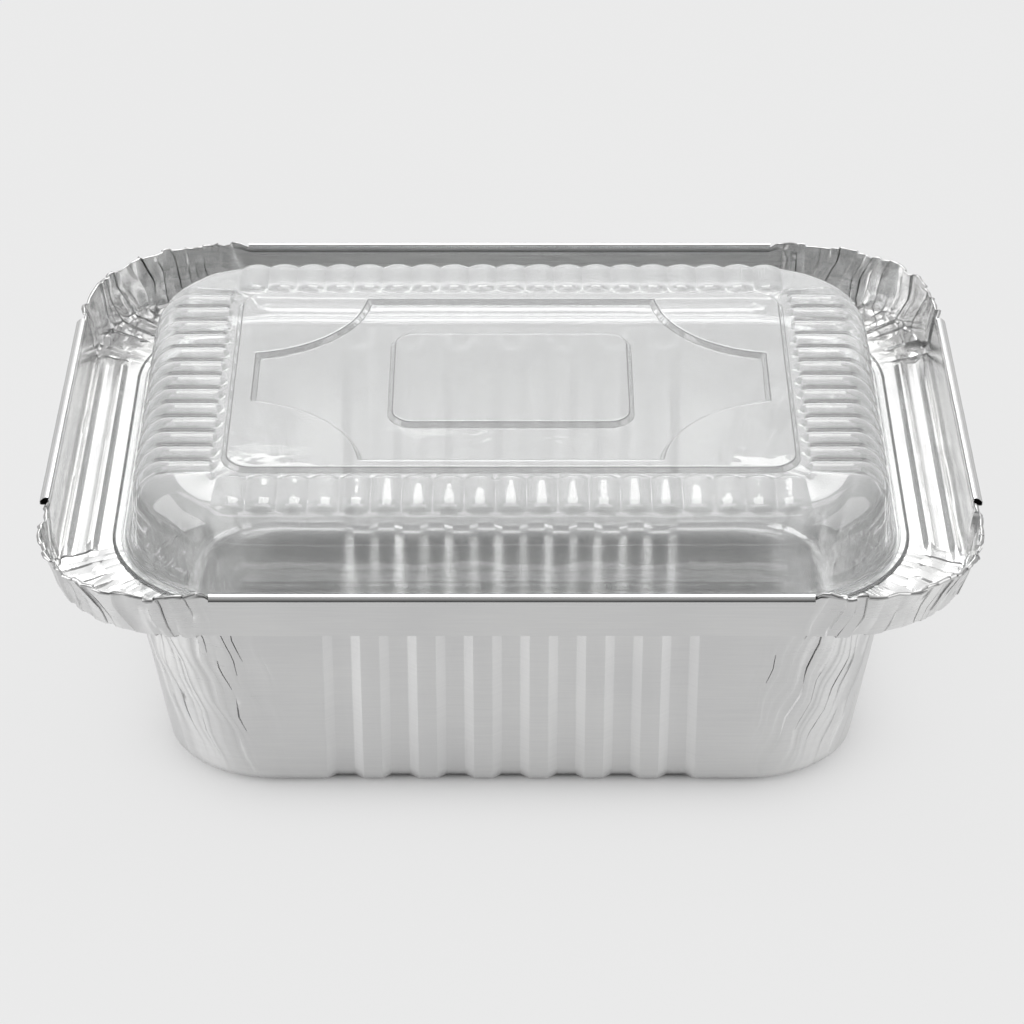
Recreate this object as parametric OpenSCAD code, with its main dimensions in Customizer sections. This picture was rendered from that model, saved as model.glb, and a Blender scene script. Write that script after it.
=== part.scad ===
// Foil food container: a pressed foil tray with an upright rolled rim, and the clear
// domed lid that lies on the ledge inside that rim. The origin is the middle of the
// tray's foot, +X runs along the long side and +Z is up.

/* [Tray] */
// Length over the rolled rim
rim_length = 225; // [216:1:250]
// Width over the rolled rim
rim_width = 175; // [166:1:200]
// Height of the rolled rim above the table
tray_height = 72; // [50:1:90]
// Thickness of the foil
foil = 0.1; // [0.08:0.01:0.2]
// How far the walls lean in from the mouth down to the floor
wall_lean = 7; // [4:0.2:9]
// Radius between the walls and the floor
floor_fillet = 4; // [2:0.5:6]
// Radius between the walls and the ledge
mouth_fillet = 1.8; // [1:0.1:3]
// Corner radius of the mouth, seen from above
mouth_corner = 31; // [29:1:34]
// Corner radius of the walls half way up, seen from above
wall_corner = 23; // [20:1:26]
// Corner radius of the floor, seen from above
floor_corner = 27; // [22:1:30]

/* [Rim] */
// Height of the rolled rim above the ledge
rim_height = 12.8; // [9:0.2:16]
// How far the upright rim leans out
rim_flare = 1.4; // [0.6:0.2:3]
// Corner radius of the rim, seen from above
rim_corner = 37; // [36:1:42]
// Diameter of the rolled hem
hem_d = 2.1; // [1.6:0.1:3]
// Plain length between the end of a hem and the corner
hem_stop = 5.5; // [3:0.5:8]
// How far the plain corners stand above the hem's middle
corner_lift = 0.7; // [0.2:0.1:1]
// Depth of the pleats in the corners
pleat_depth = 0.6; // [0.2:0.1:1]

/* [Ledge] */
// Width of the ledge between the upright rim and the mouth
ledge_width = 14.4; // [14:0.2:18]
// Width of each of the two beads along the ledge
bead_width = 3.2; // [2:0.2:3.6]
// Height of the beads
bead_height = 1.3; // [0.6:0.1:2]
// Distance between the two beads, middle to middle
bead_pitch = 5.9; // [4.5:0.1:6.2]

/* [Wall channels] */
// Distance between channels, middle to middle
channel_pitch = 13.6; // [12:0.2:14]
// Flat width at the bottom of a channel
channel_flat = 4.4; // [3:0.2:6]
// Width of each sloping side of a channel
channel_slope = 2.3; // [1.5:0.1:3]
// Depth of a channel
channel_depth = 1.8; // [0.6:0.1:2.4]
// Number of channels in each long wall
long_channels = 7; // [5:1:8]
// Number of channels in each short wall
short_channels = 4; // [2:1:5]

/* [Lid] */
// Thickness of the clear sheet
lid_sheet = 0.25; // [0.2:0.05:0.5]
// Clearance between the lid's edge and the inner bead
lid_gap = 2.6; // [1:0.2:4]
// Clearance between the ledge and the lid lying on it
lid_seat = 0.1; // [0.05:0.05:0.3]
// Width of the lid's flat flange
flange_width = 5; // [4:0.2:7]
// Corner radius of the dome's wall, seen from above
dome_corner = 30; // [28:1:32]
// Height of the dome above the ledge
dome_height = 22; // [16:0.5:30]
// Radius of the dome's shoulder
shoulder = 9.3; // [6:0.3:12]
// How far the dome's wall leans in from its foot to the shoulder
dome_lean = 0.4; // [0:0.1:1.5]
// Height of the stiffening ridge on the flange
ridge_height = 0.7; // [0.3:0.1:1.2]
// Width of the stiffening ridge
ridge_width = 1.4; // [1:0.1:1.8]

/* [Lid flutes] */
// Least distance between the flutes of the shoulder
flute_pitch = 6.8; // [5.5:0.1:9]
// Depth of the grooves between the flutes
flute_depth = 1; // [0.4:0.1:1.4]
// Length of the flutes' flat tops, from the raised panel to the shoulder
flute_run = 11; // [8:0.5:12]
// Corner radius of the outline of the flutes' inner ends
flute_corner = 2; // [1.5:0.5:4]

/* [Lid panel] */
// Plain strip between the raised panel and the flutes
border = 1.6; // [1.2:0.2:3]
// Height of the raised panel
panel_step = 1.2; // [0.6:0.1:1.8]
// Width of the sloping edges of the panels
panel_slope = 1.4; // [0.8:0.1:2]
// Corner radius of the raised panel
panel_corner = 6; // [4:0.5:8]
// Distance from the raised panel's ends to the sunk cross
cross_end = 5.5; // [4:0.5:8]
// Distance from the raised panel's long edges to the sunk cross
cross_edge = 4.4; // [3.4:0.2:6]
// Radius of the hollow corners of the cross
cross_radius = 33; // [28:1:34]
// Length of the small raised panel in the middle
tablet_length = 58; // [44:1:62]
// Width of the small raised panel in the middle
tablet_width = 44; // [34:1:50]
// Corner radius of the small raised panel
tablet_corner = 5; // [3:0.5:8]

/* [Hidden] */

// Steps round a corner of the tray and of the lid
pleats = 10;
lid_steps = 6;
// How much the pleats of a corner, and the corners, differ in depth
pleat_spread = 0.3;
corner_spread = 0.2;
// Steps round the rolled hem, and the angle that the roll covers
hem_steps = 8;
hem_turn = 320;

// Places across the rim, as distances in from the hem's outer side
rim_foot = hem_d + rim_flare;
bead_outer = rim_foot + bead_width / 2;
bead_inner = bead_outer + bead_pitch;
mouth = rim_foot + ledge_width;
wall_top = mouth + mouth_fillet;
wall_foot = wall_top + wall_lean;
floor_edge = wall_foot + floor_fillet;
waist = wall_top + wall_lean * 0.3;

// Heights of the tray
hem_z = tray_height - hem_d / 2;
ledge_z = tray_height - rim_height;
under_ledge = ledge_z - foil;
waist_z = ledge_z * 0.64;
corner_cut = 1 - cos(45);

// Half the straight length that carries a hem, on a long and on a short side
long_hem = rim_length / 2 - rim_corner - hem_stop;
short_hem = rim_width / 2 - rim_corner - hem_stop;

// Places and heights of the lid
lid_edge = bead_inner + bead_width / 2 + lid_gap;
dome_foot = lid_edge + flange_width;
dome_top = dome_foot + dome_lean;
crown = dome_top + shoulder;
flute_end = crown + flute_run;
panel_foot = flute_end + border;
panel_edge = panel_foot + panel_slope;
flange_z = ledge_z + lid_seat;
crest_z = flange_z + dome_height - lid_sheet;
plateau_z = crest_z - flute_depth;
panel_z = plateau_z + panel_step;
wall_z = crest_z - shoulder;

// Corner radii of the dome's crown and of the middle of its shoulder
crown_corner = dome_corner * 0.6;
haunch_corner = dome_corner * 0.88;

// Depth of the short sides' grooves at the middle of the shoulder and at its foot
haunch_groove = flute_depth * 0.7;
foot_groove = flute_depth * 0.5;

// The flutes fill each side evenly, with an odd number of them
long_reach = rim_length / 2 - flute_end - flute_corner / 2;
short_reach = rim_width / 2 - flute_end - flute_corner / 2;
long_flutes = 2 * floor(long_reach / flute_pitch - 0.5) + 1;
short_flutes = 2 * floor(short_reach / flute_pitch - 0.5) + 1;

// OUTLINES
// A stop is a place on an outline: [side, 0, millimetres from the side's middle, weight]
// on a side, or [side, 1, degrees from that side's end, weight] on the corner after it.
// Side 0 faces +X and the others follow anticlockwise. Every outline starts at the
// corner after side 0, and side 4 is side 0 met again.

function quarter_turns(p, k) =
    k == 0 ? p : k == 1 ? [-p.y, p.x] : k == 2 ? [-p.x, -p.y] : [p.y, -p.x];

// How far round its corner a side's last stop reaches
function spill(reach, half, r) =
    asin(min(1, max(0, reach - (half - r)) / r));

// The point of a stop on a rounded rectangle of half sizes hx and hy and radius r,
// moved outward by out. reach is how far the side stops go on the X and Y sides.
function on_outline(stop, hx, hy, r, out = 0, reach = [0, 0]) =
    let (k = stop[0] % 4,
         odd = k % 2,
         a = odd ? hy : hx,
         b = odd ? hx : hy,
         past = max(0, abs(stop[2]) - (b - r)),
         first = spill(odd ? reach.x : reach.y, b, r),
         last = 90 - spill(odd ? reach.y : reach.x, a, r),
         angle = first + (last - first) * stop[2] / 90)
    quarter_turns(
        stop[1] == 0
            ? [a - r + sqrt(max(0, r * r - past * past)) + out, stop[2]]
            : [a - r + (r + out) * cos(angle), b - r + (r + out) * sin(angle)],
        k);

// The order of a stop along its outline
function order(stop) =
    stop[0] + (stop[1] == 0 ? 0.25 + stop[2] / 1000 : 0.5 + stop[2] / 200);

// All stops: the corners, whose pleats differ from one to the next, and between them the
// stops of the long and short sides
function all_stops(corner, long_side, short_side) = [
    for (k = [0:3]) each concat(
        [for (c = corner) [k, 1, c[0], c[1] * (1 - corner_spread * (1 - cos(140 * k)))]],
        [for (s = k % 2 == 0 ? long_side : short_side) [k + 1, 0, s[0], s[1]]])
];

// SKINS
// A ring is a list of points, with the stops that they stand on.

// Triangles between two rings that start at points a and b of the polyhedron
function band(a, stops_a, b, stops_b) =
    let (n = len(stops_a),
         m = len(stops_b),
         same = stops_a == stops_b,
         ta = [for (lap = [0, 4], s = stops_a) order(s) + lap],
         tb = [for (lap = [0, 4], s = stops_b) order(s) + lap])
    concat(
        [for (i = [0:n - 1])
            let (j = same ? i : len([for (t = tb) if (t < ta[i + 1]) t]) - 1)
            [a + (i + 1) % n, a + i, b + (j + m) % m]],
        [for (j = [0:m - 1])
            let (i = same ? j + 1 : len([for (t = ta) if (t <= tb[j + 1]) t]) - 1)
            [b + j, b + (j + 1) % m, a + (i + n) % n]]);

function sum_to(list, n) = n == 0 ? 0 : list[n - 1] + sum_to(list, n - 1);

function flipped(faces) = [for (f = faces) [f[2], f[1], f[0]]];

// A fan from a middle point to the first ring, and the bands between all rings
function skin(first, stop_lists) =
    let (sizes = [for (s = stop_lists) len(s)],
         starts = [for (i = [0:len(sizes) - 1]) first + 1 + sum_to(sizes, i)])
    concat(
        [for (i = [0:sizes[0] - 1])
            [first, starts[0] + i, starts[0] + (i + 1) % sizes[0]]],
        [for (r = [0:len(sizes) - 2])
            each band(starts[r], stop_lists[r], starts[r + 1], stop_lists[r + 1])]);

// A two-triangle face with corners a, b, c and d
function quad(a, b, c, d) = [[c, b, a], [d, c, a]];

// A path moved sideways by t, to the left of its direction, with mitred corners
function moved_path(path, t) =
    let (n = len(path),
         normals = [for (i = [0:n - 2])
            let (d = path[i + 1] - path[i])
            [-d.y, d.x] / norm(d)])
    [for (i = [0:n - 1])
        let (a = normals[max(0, i - 1)],
             b = normals[min(n - 2, i)])
        path[i] + t * (a + b) / (1 + a * b)];

// THE TRAY
// The outer side of the foil as stations, from the floor's edge to the rim:
// [distance in from the rim, height, corner radius, channel weight, pleat weight,
// ruffle weight]. Pleats move a corner outward, and ruffles move it up.
tray_stations = [
    [floor_edge, 0, floor_corner, 1, 0, 0],
    [wall_foot + floor_fillet * corner_cut, floor_fillet * corner_cut,
        floor_corner, 1, 0.1, 0],
    [wall_foot, floor_fillet, (floor_corner + wall_corner) / 2, 1, 0.3, 0],
    [waist, waist_z, wall_corner, 1, 0.8, 0],
    [wall_top, under_ledge - mouth_fillet, (mouth_corner + wall_corner) / 2, 1, 1, 0],
    [mouth, under_ledge, mouth_corner, 0, 0, 0],
    [bead_inner + bead_width / 2, under_ledge, mouth_corner + 0.8, 0, 0, 0.1],
    [bead_inner, under_ledge + bead_height, mouth_corner + 1.4, 0, 0, -0.9],
    [bead_inner - bead_width / 2, under_ledge, mouth_corner + 2, 0, 0, 0.6],
    [bead_outer, under_ledge + bead_height, mouth_corner + 3, 0, 0, -0.8],
    [rim_foot, under_ledge, rim_corner - rim_foot, 0, 0.4, 0],
    [hem_d - foil, hem_z, rim_corner - hem_d, 0, 1, 0],
];
channel_rings = 6;

// Stops in the straight walls: each channel has two edges and two bottom lines
function channel_stops(count) = [
    for (c = [0:count - 1])
        let (middle = (c - (count - 1) / 2) * channel_pitch)
        each [[middle - channel_flat / 2 - channel_slope, 0],
              [middle - channel_flat / 2, 1],
              [middle + channel_flat / 2, 1],
              [middle + channel_flat / 2 + channel_slope, 0]]
];

// Pleats of uneven depth round a corner, flat at both ends
pleat_stops = [
    for (i = [0:pleats])
        [90 * i / pleats,
         i == 0 || i == pleats ? 0 : (i % 2 == 0 ? 1 : -1) * (1 - pleat_spread * (1 - sin(97 * i)))]
];

wall_stops = all_stops(pleat_stops, channel_stops(long_channels), channel_stops(short_channels));
rim_stops = all_stops(
    pleat_stops, [[-long_hem, 0], [long_hem, 0]], [[-short_hem, 0], [short_hem, 0]]);

module foil_tray() {
    rings = len(tray_stations);
    stop_lists = [for (r = [0:rings - 1]) r < channel_rings ? wall_stops : rim_stops];

    // The section of the sheet, with the rolled hem after the last ring
    roll = hem_d / 2 - foil;
    outer_path = concat(
        [for (s = tray_stations) [-s[0], s[1]]],
        [for (i = [1:hem_steps])
            let (angle = 180 - hem_turn * i / hem_steps)
            [-hem_d / 2 + roll * cos(angle), hem_z + roll * sin(angle)]]);
    inner_path = moved_path(outer_path, foil);

    function ring(path, r) =
        let (st = tray_stations[r],
             hx = rim_length / 2 + path[r].x,
             hy = rim_width / 2 + path[r].x,
             radius = st[2] + path[r].x + st[0],
             lift = r == rings - 1 ? corner_lift : 0)
        [for (s = stop_lists[r])
            let (out = s[1] == 0 ? -channel_depth * st[3] * s[3] : pleat_depth * st[4] * s[3],
                 up = s[1] == 0 ? 0 : bead_height * st[5] * abs(s[3]) + lift * (1 - 0.4 * abs(s[3])))
            concat(on_outline(s, hx, hy, radius, out), path[r].y + up)];

    function hem_end(path, i, side, sign) =
        concat(quarter_turns(
            [(side % 2 == 0 ? rim_length : rim_width) / 2 + path[rings + i].x,
             sign * (side % 2 == 0 ? short_hem : long_hem)], side % 4), path[rings + i].y);

    function sheet_points(path) = concat(
        [[0, 0, path[0].y]],
        [for (r = [0:rings - 1]) each ring(path, r)],
        [for (side = [1:4], i = [0:hem_steps - 1], sign = [-1, 1]) hem_end(path, i, side, sign)]);

    outer_points = sheet_points(outer_path);
    other = len(outer_points);
    last = other - 4 * 2 * hem_steps - len(rim_stops);
    rim_count = len(rim_stops);

    // The point of hem station i on a side, at its first or last end. Station 0 is the rim.
    function hem_index(side, i, end) =
        i == 0
            ? last + (side * (pleats + 3) - 2 + end) % rim_count
            : last + rim_count + ((side - 1) * hem_steps + i - 1) * 2 + end;

    sheet_faces = concat(
        skin(0, stop_lists),
        [for (side = [1:4], i = [0:hem_steps - 1])
            each quad(hem_index(side, i, 0), hem_index(side, i, 1),
                      hem_index(side, i + 1, 1), hem_index(side, i + 1, 0))]);

    edge_faces = concat(
        [for (i = [0:rim_count - 1])
            if (rim_stops[i][1] == 1 || rim_stops[i][2] > 0)
                each quad(last + i, last + (i + 1) % rim_count,
                          other + last + (i + 1) % rim_count, other + last + i)],
        [for (side = [1:4])
            let (a = hem_index(side, hem_steps, 0), b = hem_index(side, hem_steps, 1))
            each quad(a, b, other + b, other + a)],
        [for (side = [1:4], i = [0:hem_steps - 1])
            let (a = hem_index(side, i, 0), b = hem_index(side, i + 1, 0),
                 c = hem_index(side, i, 1), d = hem_index(side, i + 1, 1))
            each concat(quad(a, b, other + b, other + a), quad(d, c, other + c, other + d))]);

    color("silver")
        polyhedron(
            points = concat(outer_points, sheet_points(inner_path)),
            faces = concat(
                sheet_faces,
                [for (f = flipped(sheet_faces)) f + [other, other, other]],
                edge_faces));
}

// THE LID
// Stops of the flutes: a groove at each end of a flute and two lines on its crest
function flute_stops(reach, count) = concat(
    [for (f = [0:count - 1])
        let (pitch = 2 * reach / count,
             start = f * pitch - reach)
        each [[start, 1], [start + pitch * 0.25, 0], [start + pitch * 0.75, 0]]],
    [[reach, 1]]);

function corner_stops(first, last) = [for (i = [first:last]) [90 * i / lid_steps, 0]];

panel_stops = all_stops(corner_stops(0, lid_steps), [[0, 0]], [[0, 0]]);
dome_stops = all_stops(
    corner_stops(1, lid_steps - 1),
    flute_stops(long_reach, long_flutes),
    flute_stops(short_reach, short_flutes));
flange_stops = all_stops(
    corner_stops(1, lid_steps - 1),
    [for (s = [-1, -0.88, 0.88, 1]) [s * long_reach, 0]],
    [for (s = [-1, -0.8, 0.8, 1]) [s * short_reach, 0]]);

// Stations of the dome's inner side: [distance in from the rim, height, corner radius,
// depth of the grooves on the long sides and on the short sides, their direction up]
dome_stations = [
    [flute_end, plateau_z, flute_corner, 0, 0, 1],
    [flute_end - flute_depth, crest_z, flute_corner + flute_depth, flute_depth, flute_depth, 1],
    [crown, crest_z, crown_corner, flute_depth, flute_depth, 1],
    [dome_top + shoulder * corner_cut, crest_z - shoulder * corner_cut,
        haunch_corner, 0, haunch_groove, 0.7],
    [dome_top, wall_z - 2, dome_corner - dome_lean, 0, foot_groove, 0],
];
flange_stations = [
    [dome_foot, flange_z, dome_corner, 0, 0, 0],
    [dome_foot - ridge_width, flange_z, dome_corner + ridge_width, 0, 0, 0],
    [dome_foot - ridge_width * 1.5, flange_z + ridge_height, dome_corner + ridge_width * 1.5, 0, 0, 0],
    [dome_foot - ridge_width * 2, flange_z, dome_corner + ridge_width * 2, 0, 0, 0],
    [lid_edge, flange_z, dome_corner + flange_width, 0, 0, 0],
];

// A stop on the sunk cross, whose hollow corners are arcs about the panel's corners
function on_cross(stop, grow) =
    let (k = stop[0] % 4,
         odd = k % 2,
         hx = rim_length / 2 - panel_edge,
         hy = rim_width / 2 - panel_edge,
         a = odd ? hy : hx,
         b = odd ? hx : hy,
         gap_a = (odd ? cross_edge : cross_end) - grow,
         gap_b = (odd ? cross_end : cross_edge) - grow,
         r = cross_radius - grow,
         first = 90 + asin(gap_a / r),
         last = 180 - asin(gap_b / r),
         angle = first + (last - first) * stop[2] / 90)
    quarter_turns(
        stop[1] == 0 ? [a - gap_a, 0] : [a + r * cos(angle), b - r * sin(angle)], k);

module dome_lid() {
    dome_path = [for (s = concat(dome_stations, flange_stations)) [-s[0], s[1]]];

    function panel_ring(inset, radius, z) = [
        for (s = panel_stops)
            concat(on_outline(s, rim_length / 2 - inset, rim_width / 2 - inset, radius), z)];
    function tablet_ring(grow, z) = [
        for (s = panel_stops)
            concat(
                on_outline(
                    s, tablet_length / 2 + grow, tablet_width / 2 + grow, tablet_corner + grow),
                z)];
    function cross_ring(grow, z) = [for (s = panel_stops) concat(on_cross(s, grow), z)];

    function dome_ring(path, i) =
        let (st = concat(dome_stations, flange_stations)[i],
             hx = rim_length / 2 + path[i].x,
             hy = rim_width / 2 + path[i].x,
             radius = st[2] + path[i].x + st[0])
        [for (s = i < len(dome_stations) ? dome_stops : flange_stops)
            let (groove = s[1] == 0 ? s[3] * st[3 + (s[0] + 1) % 2] : 0,
                 out = -groove * sqrt(1 - st[5] * st[5]))
            concat(on_outline(s, hx, hy, radius, out, [long_reach, short_reach]),
                   path[i].y - groove * st[5])];

    // One side of the sheet, which is the inner side where up is 0
    function sheet_points(path, up) = concat(
        [[0, 0, panel_z + up]],
        tablet_ring(0, panel_z + up),
        tablet_ring(panel_slope, plateau_z + up),
        cross_ring(0, plateau_z + up),
        cross_ring(panel_slope, panel_z + up),
        panel_ring(panel_edge, panel_corner, panel_z + up),
        panel_ring(panel_foot, panel_corner + panel_slope, plateau_z + up),
        [for (i = [0:len(path) - 1]) each dome_ring(path, i)]);

    inner_points = sheet_points(dome_path, 0);
    outer_points = sheet_points(moved_path(dome_path, lid_sheet), lid_sheet);
    other = len(inner_points);
    edge_count = len(flange_stops);
    last = other - edge_count;
    faces = skin(0, concat(
        [for (i = [1:6]) panel_stops],
        [for (s = dome_stations) dome_stops],
        [for (s = flange_stations) flange_stops]));

    color([0.93, 0.95, 0.96, 0.4])
        polyhedron(
            points = concat(inner_points, outer_points),
            faces = concat(
                faces,
                [for (f = flipped(faces)) f + [other, other, other]],
                [for (i = [0:edge_count - 1])
                    each quad(last + i, last + (i + 1) % edge_count,
                              other + last + (i + 1) % edge_count, other + last + i)]));
}

foil_tray();
dome_lid();
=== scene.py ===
"""Foil food container: a pressed foil tray with an upright rolled rim, and the clear
domed lid that lies on the ledge inside that rim. Lengths in the settings are in metres;
the making functions work in millimetres and scale to metres when they write a mesh."""

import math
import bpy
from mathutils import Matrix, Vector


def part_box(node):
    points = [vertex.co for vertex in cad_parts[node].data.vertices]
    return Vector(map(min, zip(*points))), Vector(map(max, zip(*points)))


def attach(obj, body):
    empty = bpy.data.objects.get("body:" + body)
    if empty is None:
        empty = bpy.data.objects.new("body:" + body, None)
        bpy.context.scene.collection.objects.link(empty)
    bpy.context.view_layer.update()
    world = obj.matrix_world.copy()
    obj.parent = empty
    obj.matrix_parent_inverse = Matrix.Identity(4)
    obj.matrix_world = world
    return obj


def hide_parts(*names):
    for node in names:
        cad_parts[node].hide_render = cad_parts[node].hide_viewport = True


bl_info = {
    "name": "Foil food container",
    "version": (1, 0, 0),
    "blender": (4, 5, 0),
    "location": "View3D > Sidebar > Container",
    "description": "Builds a crumpled-corner foil tray, its clear domed lid and a pale studio",
    "category": "Add Mesh",
}

import bmesh
import bpy
import numpy as np
from bpy.props import FloatProperty, FloatVectorProperty, IntProperty, PointerProperty
from mathutils import Vector, noise

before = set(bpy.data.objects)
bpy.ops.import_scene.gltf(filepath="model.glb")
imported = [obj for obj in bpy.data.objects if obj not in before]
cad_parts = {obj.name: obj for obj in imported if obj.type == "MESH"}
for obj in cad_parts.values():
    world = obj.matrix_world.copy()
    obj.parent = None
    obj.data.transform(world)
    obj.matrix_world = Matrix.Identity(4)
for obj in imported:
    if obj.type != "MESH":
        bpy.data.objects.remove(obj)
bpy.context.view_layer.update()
TRAY_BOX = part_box("foil_tray")

# The making functions and their named values are in millimetres, the meshes in metres
MM = 0.001


# Outlines and meshes

class Columns:
    """The columns that every ring of a surface shares, anticlockwise from side 0, which
    faces +X. A column is on a side, or on the corner after that side."""

    def __init__(self, side_places, corner_steps):
        side, corner, place, turn = [], [], [], []
        turns = [i / corner_steps for i in range(1, corner_steps)]
        for k in range(4):
            along = side_places[k % 2]
            side += [k] * (len(along) + len(turns))
            corner += [False] * len(along) + [True] * len(turns)
            place += along + [0.0] * len(turns)
            turn += [0.0] * len(along) + turns
        self.side = np.array(side)
        self.corner = np.array(corner)
        self.place = np.array(place)
        self.turn = np.array(turn)
        self.count = len(side)


def outline(cols, along, hx, hy, r, reach=(0.0, 0.0)):
    """Points and plan normals of a rounded rectangle of half sizes hx and hy. along is
    each side column's distance from the side's middle, and reach is how far the side
    columns go on the +Y and +X sides, where that is past the straight part."""
    odd = cols.side % 2 == 1
    a = np.where(odd, hy, hx)
    b = np.where(odd, hx, hy)

    def spill(length, half):
        return np.arcsin(np.clip((length - (half - r)) / r, 0.0, 1.0))

    past = np.maximum(0.0, np.abs(along) - (b - r))
    past = np.minimum(past, r)
    lean = np.arcsin(past / r) * np.sign(along)
    first = np.where(odd, spill(reach[0], b), spill(reach[1], b))
    last = math.pi / 2 - np.where(odd, spill(reach[1], a), spill(reach[0], a))
    angle = np.where(cols.corner, first + (last - first) * cols.turn, lean)
    x = a - r + r * np.cos(angle)
    y = np.where(cols.corner, b - r + r * np.sin(angle), along)
    nx, ny = np.cos(angle), np.sin(angle)
    return turned(cols.side, x, y), turned(cols.side, nx, ny)


def turned(side, x, y):
    """Turn each point by as many quarter turns as its side's number."""
    c = np.array([1, 0, -1, 0])[side]
    s = np.array([0, 1, 0, -1])[side]
    return np.stack([x * c - y * s, x * s + y * c], axis=-1)


def smooth(low, high, x):
    """0 below low and 1 above high, with an even ease between them."""
    t = np.clip((x - low) / (high - low), 0.0, 1.0)
    return t * t * (3.0 - 2.0 * t)


def write_mesh(name, rings, extra_faces=(), extra_points=(), middle=None, attributes=None):
    """A mesh object of closed rings of equal length, the first one round a middle point."""
    count = len(rings[0])
    points = [np.asarray(r) for r in rings]
    if middle is not None:
        points.append(np.array([middle]))
    if len(extra_points):
        points.append(np.asarray(extra_points))
    points = np.concatenate(points) * MM
    i = np.arange(count)
    j = (i + 1) % count
    faces = []
    for r in range(len(rings) - 1):
        a, b = r * count, (r + 1) * count
        faces += np.stack([a + i, b + i, b + j, a + j], axis=-1).tolist()
    if middle is not None:
        m = len(rings) * count
        faces += [[m, int(p), int(q)] for p, q in zip(i, j)]
    faces += list(extra_faces)
    mesh = bpy.data.meshes.new(name)
    mesh.from_pydata(points.tolist(), [], faces)
    mesh.validate()
    for key, values in (attributes or {}).items():
        layer = mesh.attributes.new(key, "FLOAT", "POINT")
        full = np.zeros(len(mesh.vertices))
        full[:len(values)] = values
        layer.data.foreach_set("value", full)
    obj = bpy.data.objects.new(name, mesh)
    bpy.context.scene.collection.objects.link(obj)
    return obj


def face_down(obj):
    """Turn a sheet's faces so that those in the middle of it face down, and shade them
    smooth."""
    bm = bmesh.new()
    bm.from_mesh(obj.data)
    bmesh.ops.recalc_face_normals(bm, faces=bm.faces)
    middle = min(bm.faces, key=lambda f: f.calc_center_median().xy.length)
    if middle.normal.z > 0:
        bmesh.ops.reverse_faces(bm, faces=bm.faces)
    for face in bm.faces:
        face.smooth = True
    bm.to_mesh(obj.data)
    bm.free()


def thicken(obj, thickness, other_side=0):
    """Give a sheet its thickness behind its faces. other_side is added to the number of
    the material there."""
    layer = obj.modifiers.new("sheet", "SOLIDIFY")
    layer.material_offset = other_side
    layer.thickness = thickness
    layer.offset = -1.0
    layer.use_even_offset = False
    bpy.context.view_layer.objects.active = obj
    obj.select_set(True)
    bpy.ops.object.modifier_apply(modifier=layer.name)
    obj.select_set(False)


# Materials

class Nodes:
    """Short calls that add nodes and links to a material or a world."""

    def __init__(self, block):
        block.use_nodes = True
        self.tree = block.node_tree
        self.tree.nodes.clear()

    def add(self, kind, **values):
        """A new node with its properties set."""
        node = self.tree.nodes.new(kind)
        for key, value in values.items():
            setattr(node, key, value)
        return node

    def link(self, source, target):
        """Join an output to an input."""
        self.tree.links.new(source, target)

    def math(self, operation, a, b=None, c=None, clamp=False):
        """The result of a sum, whose terms are sockets or numbers."""
        node = self.add("ShaderNodeMath", operation=operation, use_clamp=clamp)
        for socket, value in zip(node.inputs, (a, b, c)):
            if value is None:
                continue
            if isinstance(value, (int, float)):
                socket.default_value = value
            else:
                self.link(value, socket)
        return node.outputs[0]

    def noise(self, vector, scale, detail=4.0, roughness=0.5, stretch=None):
        """Soft noise, about 1 / scale metres in size, or drawn out by a stretch."""
        if stretch is not None:
            mapping = self.add("ShaderNodeMapping")
            mapping.inputs["Scale"].default_value = stretch
            self.link(vector, mapping.inputs["Vector"])
            vector = mapping.outputs[0]
        node = self.add("ShaderNodeTexNoise")
        self.link(vector, node.inputs["Vector"])
        node.inputs["Scale"].default_value = scale
        node.inputs["Detail"].default_value = detail
        node.inputs["Roughness"].default_value = roughness
        return node.outputs["Fac"]

    def ramp(self, factor, stops):
        """A colour that blends from stop to stop."""
        node = self.add("ShaderNodeValToRGB")
        self.link(factor, node.inputs["Fac"])
        elements = node.color_ramp.elements
        while len(elements) < len(stops):
            elements.new(0.5)
        for element, (place, color) in zip(elements, stops):
            element.position = place
            element.color = (*color, 1.0)
        return node.outputs["Color"]

    def mix_color(self, factor, a, b, blend="MIX"):
        """Two colours mixed, each of them a socket or a colour."""
        node = self.add("ShaderNodeMix", data_type="RGBA", blend_type=blend)
        for socket, value in ((node.inputs[0], factor), (node.inputs[6], a), (node.inputs[7], b)):
            if isinstance(value, (float, tuple)):
                socket.default_value = value
            else:
                self.link(value, socket)
        return node.outputs[2]

    def mix_shader(self, factor, a, b):
        """Two shaders mixed."""
        node = self.add("ShaderNodeMixShader")
        for source, socket in zip((factor, a, b), node.inputs):
            self.link(source, socket)
        return node.outputs[0]

    def attribute(self, name):
        """A value that the mesh carries at its points."""
        return self.add("ShaderNodeAttribute", attribute_name=name).outputs["Fac"]

    def finish(self, surface, kind="ShaderNodeOutputMaterial"):
        """Send a surface to the output."""
        self.link(surface, self.add(kind).inputs["Surface"])

    def bump(self, height, distance, strength):
        """A normal that leans with a height."""
        node = self.add("ShaderNodeBump")
        node.inputs["Strength"].default_value = strength
        node.inputs["Distance"].default_value = distance
        self.link(height, node.inputs["Height"])
        return node.outputs["Normal"]


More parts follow.
